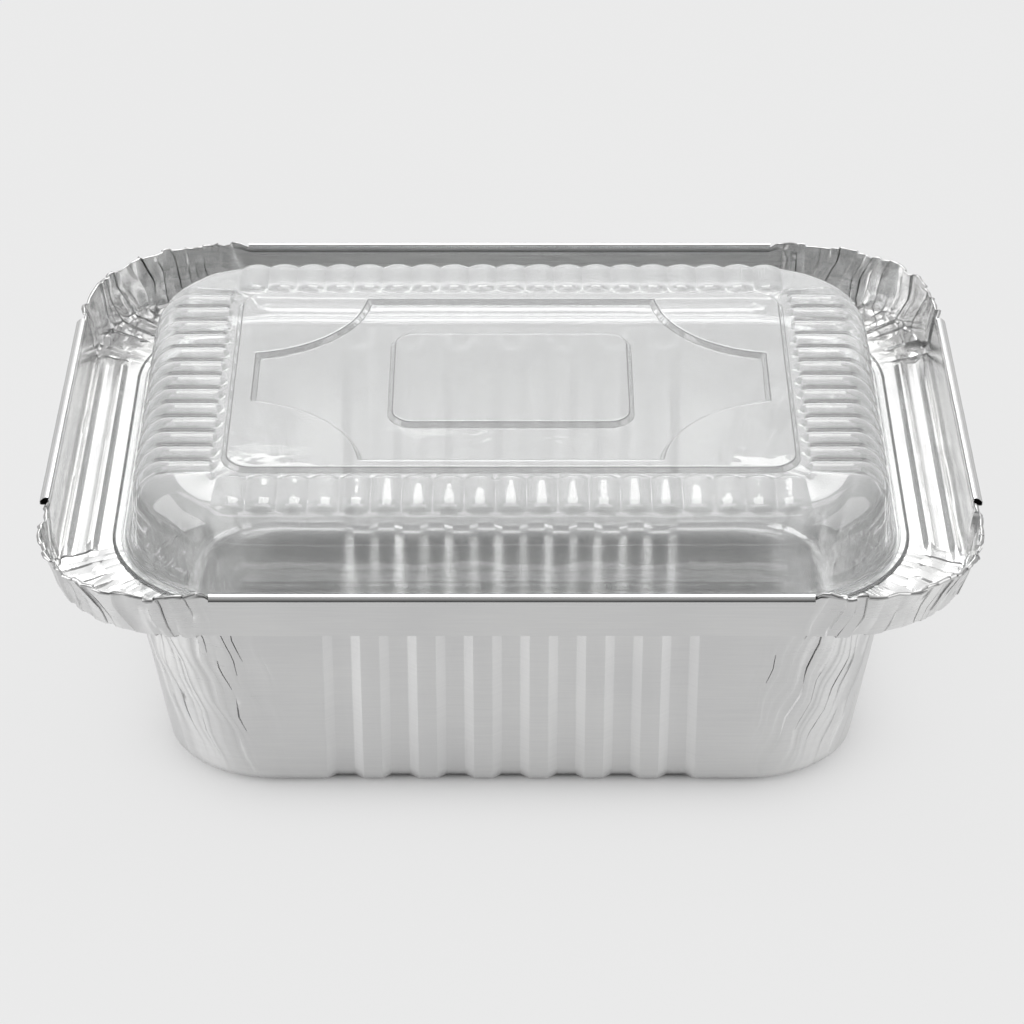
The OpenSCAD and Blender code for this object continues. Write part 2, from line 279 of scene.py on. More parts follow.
def rolled_foil_material(name, settings, polish):
    """Rolled foil: fine lines along the roll, faint clouding, small wrinkles where the
    corners were gathered, and painted shade in and under the hems."""
    material = bpy.data.materials.new(name)
    n = Nodes(material)
    place = n.add("ShaderNodeTexCoord").outputs["Object"]
    crumple = n.attribute("crumple")

    cloud = n.noise(place, 38.0, 1.0)
    lines = n.noise(place, 1.0, 2.0, 0.6, stretch=(60.0, 60.0, 1900.0))
    wrinkle = n.noise(place, 420.0, 2.0, 0.62)

    surface = n.add("ShaderNodeBsdfPrincipled")
    surface.inputs["Metallic"].default_value = 1.0
    mottle = n.math("ADD", cloud, n.math("MULTIPLY_ADD", lines, 0.7, -0.35))
    color = n.ramp(mottle, [(0.3, settings.dark_color), (0.72, settings.foil_color)])
    # Painted shade: the mesh's shade values darken the foil on the hems' lower band, under the hems and
    # their roll, and in the hems' plugged ends
    shade = n.ramp(n.math("MULTIPLY", n.attribute("painted_shade"), 0.5), [
        (0.0, (1.0, 1.0, 1.0)), (0.5, (0.16, 0.16, 0.16)), (1.0, (0.005, 0.005, 0.005))])
    n.link(n.mix_color(1.0, color, shade, "MULTIPLY"), surface.inputs["Base Color"])

    streak = n.math("MULTIPLY", lines, 0.16)
    base = n.math("ADD", streak, polish - 0.08)
    rough = n.math("SUBTRACT", base, n.math("MULTIPLY", crumple, 0.06))
    n.link(rough, surface.inputs["Roughness"])

    gathered = n.math("MULTIPLY", wrinkle, n.math("MULTIPLY", crumple, 30.0))
    height = n.math("ADD", lines, gathered)
    depth, strength = 0.00002, 0.08
    waves = n.math("MULTIPLY", n.noise(place, 85.0, 1.0), settings.waviness / (depth * strength))
    height = n.math("ADD", height, waves)
    n.link(n.bump(height, depth, strength), surface.inputs["Normal"])
    n.finish(surface.outputs[0])
    return material


# Heights between which the clear sheet turns from its clear wall to its milkier top
HAZE_FROM, HAZE_TO = 0.073, 0.0795


def clear_sheet_material(settings):
    """Clear glossy sheet, a little wavy, which lets the light of the lamps through, with
    painted shade at its tight bends.
    """
    material = bpy.data.materials.new("clear_sheet")
    n = Nodes(material)
    place = n.add("ShaderNodeTexCoord").outputs["Object"]
    surface = n.add("ShaderNodeBsdfPrincipled")
    height = n.add("ShaderNodeSeparateXYZ")
    n.link(place, height.inputs[0])
    top = n.add("ShaderNodeMapRange", interpolation_type="SMOOTHSTEP")
    n.link(height.outputs["Z"], top.inputs["Value"])
    top.inputs["From Min"].default_value = HAZE_FROM
    top.inputs["From Max"].default_value = HAZE_TO
    clear = n.math("MULTIPLY_ADD", top.outputs["Result"], -settings.haze, 0.95)
    n.link(clear, surface.inputs["Transmission Weight"])
    surface.inputs["IOR"].default_value = 1.58
    tone = n.ramp(n.noise(place, 30.0, 1.0), [
        (0.3, tuple(settings.edge_color)), (0.7, tuple(settings.sheet_color))])
    # Painted shade: the sheet is greyed where its bends are tight
    shaded = n.mix_color(n.attribute("edge"), tone, (*settings.crease_shade_color, 1.0))
    n.link(shaded, surface.inputs["Base Color"])
    n.link(n.math("MULTIPLY", n.noise(place, 60.0, 1.0), 0.016), surface.inputs["Roughness"])
    wavy = n.math("SUBTRACT", 1.0, n.math("MULTIPLY", top.outputs["Result"], 0.8))
    ripple = n.math("MULTIPLY", n.noise(place, 110.0, 2.0, 0.5), wavy)
    relief = n.math("ADD", n.noise(place, 50.0, 0.0), ripple)
    n.link(n.bump(relief, 0.0006, 0.25), surface.inputs["Normal"])

    passing = n.add("ShaderNodeBsdfTransparent")
    passing.inputs["Color"].default_value = (*settings.sheet_color, 1.0)
    shadow = n.add("ShaderNodeLightPath").outputs["Is Shadow Ray"]
    n.finish(n.mix_shader(shadow, surface.outputs[0], passing.outputs[0]))
    return material


# Settings

class FoilTraySettings(bpy.types.PropertyGroup):
    rim_length: FloatProperty(
        name="Rim length", description="Length over the rolled rim",
        default=round(TRAY_BOX[1][0] - TRAY_BOX[0][0], 3), min=0.2, max=0.25, unit="LENGTH")
    rim_width: FloatProperty(
        name="Rim width", description="Width over the rolled rim",
        default=round(TRAY_BOX[1][1] - TRAY_BOX[0][1], 3), min=0.15, max=0.2, unit="LENGTH")
    tray_height: FloatProperty(
        name="Height", description="Height of the rolled rim above the table",
        default=round(TRAY_BOX[1][2], 3), min=0.05, max=0.09, unit="LENGTH")
    foil: FloatProperty(
        name="Foil thickness", description="Thickness of the foil",
        default=0.0001, min=0.00005, max=0.0003, precision=5, unit="LENGTH")
    rim_height: FloatProperty(
        name="Rim height", description="Height of the rolled rim above the ledge",
        default=0.0128, min=0.009, max=0.016, unit="LENGTH")
    hem_d: FloatProperty(
        name="Hem diameter", description="Diameter of the rolled hem",
        default=0.0021, min=0.0016, max=0.003, precision=4, unit="LENGTH")
    splay: FloatProperty(
        name="Splay", description="How far the short sides of the rim are bent out",
        default=0.0012, min=0.0, max=0.003, precision=4, unit="LENGTH")
    foil_color: FloatVectorProperty(
        name="Foil colour", description="Colour of the bright foil",
        default=(0.79, 0.79, 0.785), min=0.0, max=1.0, subtype="COLOR")
    dark_color: FloatVectorProperty(
        name="Clouding colour", description="Colour of the foil's faint clouding",
        default=(0.74, 0.74, 0.74), min=0.0, max=1.0, subtype="COLOR")
    outer_roughness: FloatProperty(
        name="Outer roughness", description="Roughness of the foil's satin outer side",
        default=0.32, min=0.05, max=0.6, subtype="FACTOR")
    inner_roughness: FloatProperty(
        name="Inner roughness", description="Roughness of the foil's bright inner side",
        default=0.2, min=0.05, max=0.6, subtype="FACTOR")
    waviness: FloatProperty(
        name="Waviness", description="Height of the faint waves in the foil",
        default=0.00004, min=0.0, max=0.0005, precision=5, unit="LENGTH")
    seed: IntProperty(
        name="Fold pattern", description="Number that picks the pattern of folds", default=7, min=0)


class DomeLidSettings(bpy.types.PropertyGroup):
    sheet: FloatProperty(
        name="Sheet thickness", description="Thickness of the clear sheet",
        default=0.00025, min=0.0002, max=0.0005, precision=5, unit="LENGTH")
    dome_height: FloatProperty(
        name="Dome height", description="Height of the dome above the ledge",
        default=0.022, min=0.016, max=0.03, unit="LENGTH")
    flute_depth: FloatProperty(
        name="Flute depth", description="Depth of the grooves between the flutes",
        default=0.001, min=0.0004, max=0.0014, precision=4, unit="LENGTH")
    sheet_color: FloatVectorProperty(
        name="Sheet colour", description="Colour of the clear sheet",
        default=(0.975, 0.98, 0.98), min=0.0, max=1.0, subtype="COLOR")
    haze: FloatProperty(
        name="Haze", description="How milky the sheet is on its top",
        default=0.15, min=0.0, max=0.9, subtype="FACTOR")
    edge_color: FloatVectorProperty(
        name="Edge colour", description="Colour of the sheet where it is seen edge-on",
        default=(0.96, 0.965, 0.965), min=0.0, max=1.0, subtype="COLOR")
    # Painted shade at the sheet's tight bends
    crease_shade_color: FloatVectorProperty(
        name="Crease colour",
        description="Colour of the sheet at the tight bends of its panels and ribs",
        default=(0.4, 0.4, 0.4), min=0.0, max=1.0, subtype="COLOR")


class StudioSettings(bpy.types.PropertyGroup):
    floor_color: FloatVectorProperty(
        name="Floor colour", description="Colour of the floor",
        default=(0.83, 0.83, 0.83), min=0.0, max=1.0, subtype="COLOR")
    floor_glow: FloatProperty(
        name="Floor glow",
        description="How far the shadow on the floor is lifted, as seen and mirrored",
        default=0.93, min=0.0, max=1.0, subtype="FACTOR")
    floor_sheen: FloatProperty(
        name="Floor sheen", description="How much the lamps show in the floor, as the foil mirrors it",
        default=0.25, min=0.0, max=1.0, subtype="FACTOR")
    shadow_reach: FloatProperty(
        name="Shadow reach", description="How far from the foot the shadow on the floor fades out",
        default=0.007, min=0.001, max=1.0, precision=4, unit="LENGTH")
    room_color: FloatVectorProperty(
        name="Room colour", description="Colour of the pale room round the floor",
        default=(0.72, 0.72, 0.72), min=0.0, max=1.0, subtype="COLOR")
    panel_rise: FloatProperty(
        name="Panel rise", description="Height of the bright panel behind the object, as an angle",
        default=math.radians(26.0), min=0.0, max=1.5, subtype="ANGLE")
    panel_glow: FloatProperty(
        name="Panel glow", description="How much brighter the panel is than the room",
        default=1.0, min=0.0, max=10.0)
    front_shade: FloatProperty(
        name="Front shade", description="How much darker the room is towards the camera's side",
        default=0.82, min=0.0, max=1.0, subtype="FACTOR")
    key_power: FloatProperty(
        name="Key power", description="Power of the broad lamp overhead",
        default=1.8, min=0.0, max=200.0, unit="POWER")
    back_power: FloatProperty(
        name="Back power", description="Power of the narrow lamp high up behind the object",
        default=1.3, min=0.0, max=200.0, unit="POWER")
    side_power: FloatProperty(
        name="Side power",
        description="Power of the lamp on the right; the one on the left has 1.6 times as much",
        default=2.2, min=0.0, max=200.0, unit="POWER")


# The tray

# How far in from the rim the flat foot ends, and its corner radius, in metres
FOOT_INSET, FOOT_CORNER = 0.0307, 0.027

# The channels of the walls: their spacing, the lines of their section and the shares of
# the depth at the outer four of them, their depth, how many there are on a side, and the
# share of the wall's height where they fade out
CHANNEL_PITCH = 13.6
CHANNEL_LINES = (-4.6, -4.4, -2.35, -2.05, 2.05, 2.35, 4.4, 4.6)
CHANNEL_SHARES = (1.0, 0.96, 0.04, 0.0)
CHANNEL_DEPTH = 1.8
LONG_CHANNELS, SHORT_CHANNELS = 7, 4
CHANNEL_FADE = 0.93

# The folds of a corner, the columns beside them, where the groove's side ends on a fold,
# and how far the folds slant along the corner at its foot and at its top
CORNER_FOLDS = 22
PLAIN_STEPS = 4
GROOVE = 0.2 / 3.0
SLANT, SLANT_TOP = 0.2, 0.03

# Foil that bends more sharply than this has a crease
CREASE_ANGLE = math.radians(38.0)

# Insets from the rim of the wall's foot and its top, the mouth, the ledge's end, and the
# rim's foot and its top. The radii of the bends at the floor and the mouth come after them
WALL_FOOT, WALL_TOP, MOUTH = 26.7, 19.7, 17.9
LEDGE_END, RIM_FOOT, RIM_TOP = 3.9, 3.5, 2.0
FLOOR_ROUND, MOUTH_ROUND = 4.0, 1.8
WALL_RINGS = 24

# Insets of the ledge's rings, which lie closer together on its two beads
LEDGE_INSETS = (
    *np.linspace(MOUTH, 12.7, 5)[1:], *np.linspace(12.6, 9.4, 8), 8.6, 7.6, *np.linspace(6.7, LEDGE_END, 7))

# The two beads of the ledge: their insets, height and half width
BEADS = (11.0, 5.1)
BEAD_HEIGHT, BEAD_REACH = 1.3, 1.6

# Corner radii of the floor, of the wall at three shares of its height, of the ledge at
# three insets, and of the rim's foot and its top
FLOOR_CORNER = 27.0
WALL_CORNERS = ([0.0, 0.64, 1.0], [25.0, 23.0, 27.0])
LEDGE_CORNERS = ([3.9, 9.4, 17.9], [34.0, 33.0, 31.0])
RIM_FOOT_CORNER, RIM_CORNER = 33.5, 35.0

# How far before a corner's arc the hems stop, and how far from the middle of a long and a
# short side its corner's columns begin
HEM_STOP = 5.5
LONG_REACH, SHORT_REACH = 46.0, 25.6

# Section of a pressed hem, outward and up from the rim's edge, with painted shade on its
# lower band and under it where it closes, and how high that section is taken to be
HEM_UNITS = 1.9
HEM_SECTION = (
    (0.02, 0.50, 0.0), (0.18, 0.82, 0.0), (0.62, 0.97, 0.0), (1.20, 0.86, 0.0), (1.40, 0.74, 0.0),
    (1.72, 0.47, 0.05), (1.95, 0.22, 0.3), (2.17, -0.04, 0.62), (2.20, -0.10, 0.0), (2.18, -0.84, 0.0),
    (1.96, -0.96, 0.6), (1.00, -0.94, 1.0), (0.52, -0.78, 1.0))

# The dark plug in a hem's end, painted shade in its hollow: how far in it is, how much of the hollow it
# fills and how dark
PLUG_INSET, PLUG_FILL, PLUG_SHADE = 0.35, 0.93, 2.0

# How far the roll of the hems stands in from the rim, where on the rim's height it starts
# and is full, and how dark the painted shade is on the line under it
ROLL = 0.3
ROLL_START, ROLL_FULL = 0.91, 0.925
ROLL_SHADE = 0.75

# How far above the ledge the rim's first ring is, and the shares of its height that follow
RIM_START = 0.15
RIM_STEPS = (0.0, 0.125, 0.25, 0.375, 0.5, 0.625, 0.75, 0.89, ROLL_START, ROLL_FULL, 1.0)

# How much higher the rim stands at the sides, and how much more again at the back
SIDE_RAISE, BACK_RAISE = 1.25, 0.5

# Height of the small flap beside the end of a long hem, and the length of a corner's rim
FLAP = 0.9
CORNER_LENGTH = 109.0


class Gather:
    """The folds that gather the foil round one corner, and the columns that follow them.
    A column is in the groove between two folds, or on the face of a fold."""

    def __init__(self, random, corner, low, high):
        widths = random.uniform(0.55, 1.5, CORNER_FOLDS)
        inner = low + (high - low) * np.concatenate([[0.0], np.cumsum(widths)]) / widths.sum()
        columns = [(share, -1, -1, 0.0) for share in np.linspace(0.0, low, PLAIN_STEPS + 1)[:-1]]
        for j in range(CORNER_FOLDS):
            for part, size in ((0.0, 0.0), (GROOVE, 0.8), (0.5, 1.0), (1.0 - GROOVE, 0.8)):
                share = inner[j] + (inner[j + 1] - inner[j]) * part
                columns.append((share, j if part == 0.0 else -1, j if part else -1, size))
        columns += [(share, -1, -1, 0.0) for share in np.linspace(high, 1.0, PLAIN_STEPS + 1)]
        self.at, self.knot, self.fold, self.full = map(np.array, zip(*columns))
        self.low, self.high = low, high
        self.inward = corner >= 2
        self.slant = 1.0 if corner % 2 == 0 else -1.0
        self.plan(random)

    def plan(self, random):
        """Pick each fold's swell and each groove's depth and length, for every part."""
        n = CORNER_FOLDS
        deep = random.uniform(0.0, 1.0, n)
        self.rim_depth = np.where(deep > 0.5, random.uniform(0.45, 0.95, n), 0.08)
        self.rim_middle = random.uniform(0.2, 0.9, n)
        self.rim_reach = random.uniform(0.35, 0.9, n)
        self.rim_swell = random.uniform(-0.7, 0.7, n)
        self.ledge_swell = np.where(np.arange(n) % 2 == 0, 1.0, -1.0) * random.uniform(0.12, 0.5, n)
        self.ledge_depth = random.uniform(0.05, 0.5, n)
        self.wall_creases = []
        # Between which heights creases lie, and the share of the grooves that have one
        for low, high, share in ((0.74, 0.98, 0.5), (0.42, 0.74, 0.35), (0.2, 0.5, 0.1)):
            depth = np.where(random.uniform(0.0, 1.0, n) < share, random.uniform(0.5, 0.95, n), 0.0)
            self.wall_creases.append(
                (depth, random.uniform(low, high, n), random.uniform(0.06, 0.16, n)))
        self.wall_swell = random.uniform(-0.32, 0.32, n)
        self.phase = random.uniform(0.0, 6.0)

    def wall_depth(self, level):
        """How deep each groove is in the wall at a level, from its few short creases."""
        return np.max([
            depth * self.window(level, middle, reach)
            for depth, middle, reach in self.wall_creases], axis=0)

    def shares(self, shift, level):
        """Where the columns are along the corner once the folds have moved by shift, with
        the small bends that the creases have at a level."""
        kinks = np.arcsin(np.sin(30.0 * level + 23.0 * self.at + self.phase))
        bend = 0.006 * kinks + 0.006 * np.sin(11.0 * level + 37.0 * self.at)
        return self.at + (self.slant * shift + bend) * np.sin(np.pi * self.at)

    def relief(self, depth, swell):
        """Height of the folds at each column, from the grooves' depths and the swells."""
        around = np.concatenate([[0.0], swell, [0.0]])
        height = np.zeros(len(self.at))
        face = self.fold >= 0
        height[face] = swell[self.fold[face]] * self.full[face]
        groove = self.knot >= 0
        j = self.knot[groove]
        height[groove] = 0.4 * (around[j] + around[j + 1]) - depth[j]
        return height

    @staticmethod
    def window(level, middle, reach):
        """How deep each groove is at a level, between its two ends."""
        return np.clip(1.6 * (1.0 - np.abs(level - middle) / reach), 0.0, 1.0)


def soft_noise(points, size, seed):
    """Smooth noise of about the given size, between -1 and 1, at each point."""
    offset = Vector((seed * 7.1, seed * 3.3, seed * 5.7))
    return np.array([noise.noise(Vector(p) / size + offset) for p in points])


class TrayShape:
    """The foil tray as closed rings, from the floor's edge up to the rim."""

    def __init__(self, s):
        self.hx, self.hy = s.rim_length * 500, s.rim_width * 500
        self.height = s.tray_height * 1000
        self.foil = s.foil * 1000
        self.hem_d = s.hem_d * 1000
        self.splay = s.splay * 1000
        self.ledge = self.height - s.rim_height * 1000 - self.foil
        self.hem_z = self.height - self.hem_d / 2
        self.random = np.random.RandomState(s.seed)
        self.plan_columns()

    def plan_columns(self):
        """List the columns of every ring: each side's channel lines, then its corner."""
        columns = []
        self.gathers = []
        for k in range(4):
            count = LONG_CHANNELS if k % 2 else SHORT_CHANNELS
            for c in range(count):
                middle = (c - (count - 1) / 2) * CHANNEL_PITCH
                columns += [(k, middle + line, -1) for line in CHANNEL_LINES]
            first, arc, last = self.lengths(k, self.hx - RIM_TOP, self.hy - RIM_TOP, RIM_CORNER)
            total = first + arc + last
            gather = Gather(self.random, k, (first - HEM_STOP) / total, 1.0 - (last - HEM_STOP) / total)
            self.gathers.append(gather)
            columns += [(k, 0.0, k)] * len(gather.at)
        self.side, self.place, self.zone = map(np.array, zip(*columns))
        self.count = len(columns)
        spare = np.where(self.side % 2, LONG_CHANNELS - 1, SHORT_CHANNELS - 1)
        shifted = self.place / CHANNEL_PITCH + spare / 2
        off = np.abs(shifted - np.round(shifted)) * CHANNEL_PITCH
        section = np.interp(off, CHANNEL_LINES[4:], CHANNEL_SHARES)
        self.channel = np.where(self.zone < 0, section, 0.0)
        self.share = np.zeros(self.count)
        for k, gather in enumerate(self.gathers):
            self.share[self.zone == k] = gather.at

    def lengths(self, k, hx, hy, r):
        """Lengths of the three runs of a corner: one side, the arc and the next side."""
        a, b = (hy, hx) if k % 2 else (hx, hy)
        first, second = (LONG_REACH, SHORT_REACH) if k % 2 else (SHORT_REACH, LONG_REACH)
        return b - r - first, r * math.pi / 2, a - r - second

    def ring(self, inset, radius, shift, level=1.0):
        """Plan points and normals of one ring. shift slants the folds, and level picks the
        small bends that they have there."""
        hx, hy = self.hx - inset, self.hy - inset
        x = np.where(self.side % 2, hy, hx).astype(float)
        y = self.place.copy()
        nx, ny = np.ones(self.count), np.zeros(self.count)
        for k, gather in enumerate(self.gathers):
            a, b = (hy, hx) if k % 2 else (hx, hy)
            first, arc, last = self.lengths(k, hx, hy, radius)
            s = gather.shares(shift, level) * (first + arc + last)
            angle = np.clip((s - first) / radius, 0.0, math.pi / 2)
            at = self.zone == k
            x[at] = a - radius + radius * np.cos(angle) - np.maximum(0.0, s - first - arc)
            y[at] = b - radius + radius * np.sin(angle) - np.maximum(0.0, first - s)
            nx[at], ny[at] = np.cos(angle), np.sin(angle)
        return turned(self.side, x, y), turned(self.side, nx, ny)

    def folded(self, make):
        """Heights of all the corners' folds, made by a function of one corner's folds."""
        height = np.zeros(self.count)
        for k, gather in enumerate(self.gathers):
            height[self.zone == k] = make(gather)
        return height

    def gathered(self, spread):
        """1 where the foil is gathered and 0 on the plain sides, easing over a spread."""
        weight = np.zeros(self.count)
        for k, gather in enumerate(self.gathers):
            q = gather.at
            weight[self.zone == k] = smooth(gather.low, gather.low + spread, q) * (
                1.0 - smooth(gather.high - spread, gather.high, q))
        return weight

    def path(self):
        """Stations of the sheet's outer side: inset, height, corner radius, part, how far
        through that part it is, and how high the beads stand there."""
        ledge, rows = self.ledge, []
        for t in np.linspace(0.0, 1.0, 6):
            a = math.pi / 2 * t
            inset = WALL_FOOT + FLOOR_ROUND * (1.0 - math.sin(a))
            z = FLOOR_ROUND * (1.0 - math.cos(a))
            rows.append((inset, z, FLOOR_CORNER - 2.0 * t, "floor", t, 0.0))
        wall_low, wall_high = FLOOR_ROUND, ledge - MOUTH_ROUND
        for t in np.linspace(0.0, 1.0, WALL_RINGS + 1)[1:]:
            z = wall_low + (wall_high - wall_low) * t
            radius = float(np.interp(t, *WALL_CORNERS))
            rows.append((WALL_FOOT + (WALL_TOP - WALL_FOOT) * t, z, radius, "wall", t, 0.0))
        for t in np.linspace(0.0, 1.0, 5)[1:]:
            a = math.pi / 2 * t
            inset = WALL_TOP - MOUTH_ROUND * (1.0 - math.cos(a))
            z = wall_high + MOUTH_ROUND * math.sin(a)
            rows.append((inset, z, WALL_CORNERS[1][2] + 4.0 * t, "mouth", t, 0.0))
        for inset in LEDGE_INSETS:
            near = [min(1.0, abs(inset - middle) / BEAD_REACH) for middle in BEADS]
            lift = sum(BEAD_HEIGHT * (0.5 + 0.5 * math.cos(math.pi * away)) for away in near)
            radius = float(np.interp(inset, *LEDGE_CORNERS))
            rows.append((inset, ledge, radius, "ledge", (MOUTH - inset) / (MOUTH - LEDGE_END), lift))
        foot = ledge + RIM_START
        for t in RIM_STEPS:
            inset = RIM_FOOT + (RIM_TOP - RIM_FOOT) * t
            radius = RIM_FOOT_CORNER + (RIM_CORNER - RIM_FOOT_CORNER) * t
            rows.append((inset, foot + (self.hem_z - foot) * t, radius, "rim", t, 0.0))
        return rows

    def rings(self):
        """All rings, how crumpled the foil is at each point, and how much painted shade it has there."""
        rings, crumple, painted_shade = [], [], []
        # The weights ease more slowly on the wall than on the ledge and the rim
        corner, inner = self.gathered(0.06), self.gathered(0.14)
        # The rim's corners lean outward, the two at the front more than those at the back
        lean = np.where(self.zone >= 2, 1.0, 0.3) * self.gathered(0.3)
        flap = self.flaps()
        make = {"floor": self.floor_ring, "wall": self.wall_ring, "mouth": self.mouth_ring,
                "ledge": self.ledge_ring, "rim": self.rim_ring}
        for inset, z, radius, part, share, lift in self.path():
            # The folds slant along the corner, most at its foot
            shift = {"floor": SLANT, "wall": SLANT_TOP + (SLANT - SLANT_TOP) * (1 - share),
                     "rim": SLANT_TOP * (1 - share)}.get(part, SLANT_TOP)
            flat, normal = self.ring(inset, radius, shift, z / self.height)
            points = np.column_stack([flat, np.full(self.count, z)])
            weight = inner if part in ("floor", "wall", "mouth") else corner
            out, up, level = make[part](points, weight, share, lift)
            if part == "rim":
                out = out + lean * (0.4 + 2.0 * share)
                up = up + flap * smooth(0.6, 1.0, share)
                raised = SIDE_RAISE * smooth(-75.0, -45.0, flat[:, 1])
                raised += BACK_RAISE * smooth(40.0, 85.0, flat[:, 1])
                up = up + raised * share
            points[:, :2] += normal * out[:, None]
            points[:, 2] += up
            points[:, :2] = self.bend(points[:, :2], share, part)
            rings.append(points)
            crumple.append(level)
            # Painted shade along the line under the hems' roll, away from the gathered corners
            under_roll = part == "rim" and share in (ROLL_START, ROLL_FULL)
            painted_shade.append(ROLL_SHADE * under_roll * (1.0 - corner))
        return rings, crumple, painted_shade

    # Each of these gives how far a ring moves outward and up, and how crumpled it is

    def floor_ring(self, points, weight, share, lift):
        """The feet of the channels, and a trace of the corners' folds."""
        out = -CHANNEL_DEPTH * self.channel
        relief = self.folded(lambda g: g.relief(np.zeros(CORNER_FOLDS), g.wall_swell))
        return out + 0.25 * share * weight * relief, np.zeros(self.count), 0.1 * weight

    def wall_ring(self, points, weight, share, lift):
        """Channels on the sides, and folds, short creases and lumps in the corners."""
        out = -CHANNEL_DEPTH * self.channel * (1.0 - smooth(CHANNEL_FADE, 1.0, share))
        relief = self.folded(lambda g: g.relief(g.wall_depth(share), g.wall_swell))
        out += weight * relief * (0.25 + 0.75 * smooth(0.0, 0.5, share))
        lumps = 0.55 * soft_noise(points * (1.0, 1.0, 0.6), 5.5, 1) + 0.4 * soft_noise(points, 13.0, 7)
        out += weight * smooth(0.1, 0.6, share) * lumps
        out += 0.08 * (1.0 - self.channel) * soft_noise(points, 24.0, 2)
        return out, np.zeros(self.count), weight * smooth(0.1, 0.8, share) * 0.3

    def mouth_ring(self, points, weight, share, lift):
        """The wall's folds fade out where the foil bends over to the ledge."""
        relief = self.folded(lambda g: g.relief(g.wall_depth(1.0), g.wall_swell))
        return weight * (1.0 - share) * relief, np.zeros(self.count), 0.3 * weight

    def ledge_ring(self, points, weight, share, lift):
        """Two beads, which give way to folds in the corners, and a faint ripple."""
        outer = smooth(0.25, 0.6, share)
        relief = self.folded(lambda g: g.relief(g.ledge_depth, g.ledge_swell))
        up = lift * (1.0 - weight) + weight * (0.12 + 0.88 * outer) * relief
        up += weight * outer * 0.35 * soft_noise(points, 3.6, 3) - 0.25 * weight * outer
        ripple = 0.13 * soft_noise(points * (1.0, 0.6, 1.0), 7.0, 4) + 0.05 * soft_noise(points, 3.0, 10)
        up += ripple * smooth(0.3, 0.5, share)
        return np.zeros(self.count), up, weight * (0.3 + 0.7 * outer)

    def rim_ring(self, points, weight, share, lift):
        """Folds and dents in the corners, and the start of the hems' roll on the sides."""
        def relief(g):
            depth = g.rim_depth * g.window(share, g.rim_middle, g.rim_reach)
            height = g.relief(depth, g.rim_swell * (0.5 + 0.7 * share))
            return height if g.inward else -height
        out = weight * self.folded(relief)
        dents = soft_noise(points * (1.0, 1.0, 0.7), 4.5, 5)
        out += (0.6 * weight * smooth(0.0, 0.3, share) + 0.05) * dents
        out -= ROLL * smooth(ROLL_START, ROLL_FULL, share) * (1.0 - weight)
        up = weight * smooth(0.7, 1.0, share) * (0.25 + 0.7 * soft_noise(points, 4.0, 6))
        foot = self.folded(lambda g: g.relief(g.ledge_depth, g.ledge_swell))
        up += weight * (1.0 - smooth(0.0, 0.25, share)) * foot * 0.7
        return out, up, weight * (0.35 + 0.25 * share)

    def flaps(self):
        """The foil stands a little higher just before each long hem starts."""
        lift = np.zeros(self.count)
        for k, gather in enumerate(self.gathers):
            end = gather.low if k % 2 else gather.high
            near = np.abs(gather.at - end) * CORNER_LENGTH
            inside = (gather.at > gather.low) & (gather.at < gather.high)
            flap = FLAP * smooth(0.3, 1.0, near) * (1.0 - smooth(3.5, 5.0, near))
            lift[self.zone == k] = np.where(inside, flap, 0.0)
        return lift

    def bend(self, points, share, part):
        """Bend the short sides of the rim a little outward, more towards the front."""
        weight = {"rim": 0.45 + 0.55 * share, "ledge": 0.45 * share}.get(part, 0.0)
        if weight == 0.0:
            return points
        forward = 0.75 - 0.6 * points[:, 1] / self.hy
        side = smooth(60.0, 105.0, np.abs(points[:, 0])) * np.sign(points[:, 0])
        moved = points.copy()
        moved[:, 0] += self.splay * weight * side * forward
        return moved

    def edge_strips(self, rim, start):
        """Hems along the four straight sides, and the crushed hem of each corner. Returns
        extra points, faces, crumple and painted shade values. rim is the last ring, start its index."""
        points, faces, crumple, painted_shade = [], [], [], []
        first_extra = start + self.count
        normals = self.ring(RIM_TOP, RIM_CORNER, 0.0)[1]
        for run, is_hem in self.runs():
            rows = [[start + int(i) for i in run]]
            size = np.full(len(run), (self.hem_d - 2 * self.foil) / HEM_UNITS)
            if not is_hem:
                ends = np.clip(6.0 * np.sin(np.pi * np.linspace(0.0, 1.0, len(run))), 0.0, 1.0)
                size = 0.32 + 0.22 * soft_noise(rim[run], 1.7, 8) + 0.16 * soft_noise(rim[run], 0.9, 9)
                size = np.maximum(0.12, size * (0.4 + 0.6 * ends))
            for out, up, dark in HEM_SECTION:
                rows.append([first_extra + len(points) + i for i in range(len(run))])
                shift = np.column_stack([normals[run] * out, np.full(len(run), up)])
                points += (rim[run] + shift * size[:, None]).tolist()
                crumple += [0.0 if is_hem else 0.6] * len(run)
                # The crushed corner hems carry painted shade all along
                painted_shade += [dark if is_hem else max(dark, 0.35)] * len(run)
            for low, high in zip(rows, rows[1:]):
                faces += [[a, b, d, e] for a, b, d, e in zip(low, high, high[1:], low[1:])]
            if is_hem:
                for column in (0, -1):
                    self.shade_plug(rows, column, points, faces, crumple, painted_shade, first_extra)
        return points, faces, crumple, painted_shade

    def shade_plug(self, rows, column, points, faces, crumple, painted_shade, first_extra):
        """Close the hollow of a hem a little way in from its end with a dark plug, painted
        shade that makes it look deep.
        """
        at = np.array(points)
        loop = at[[row[column] - first_extra for row in rows[1:]]]
        following = at[[row[1 if column == 0 else -2] - first_extra for row in rows[1:]]]
        along = following - loop
        inner = loop + along * PLUG_INSET / np.linalg.norm(along, axis=1)[:, None]
        middle = inner.mean(axis=0)
        ring = [first_extra + len(points) + i for i in range(len(inner))]
        points += (middle + (inner - middle) * PLUG_FILL).tolist()
        crumple += [0.0] * len(ring)
        painted_shade += [PLUG_SHADE] * len(ring)
        faces.append(ring if column == 0 else ring[::-1])

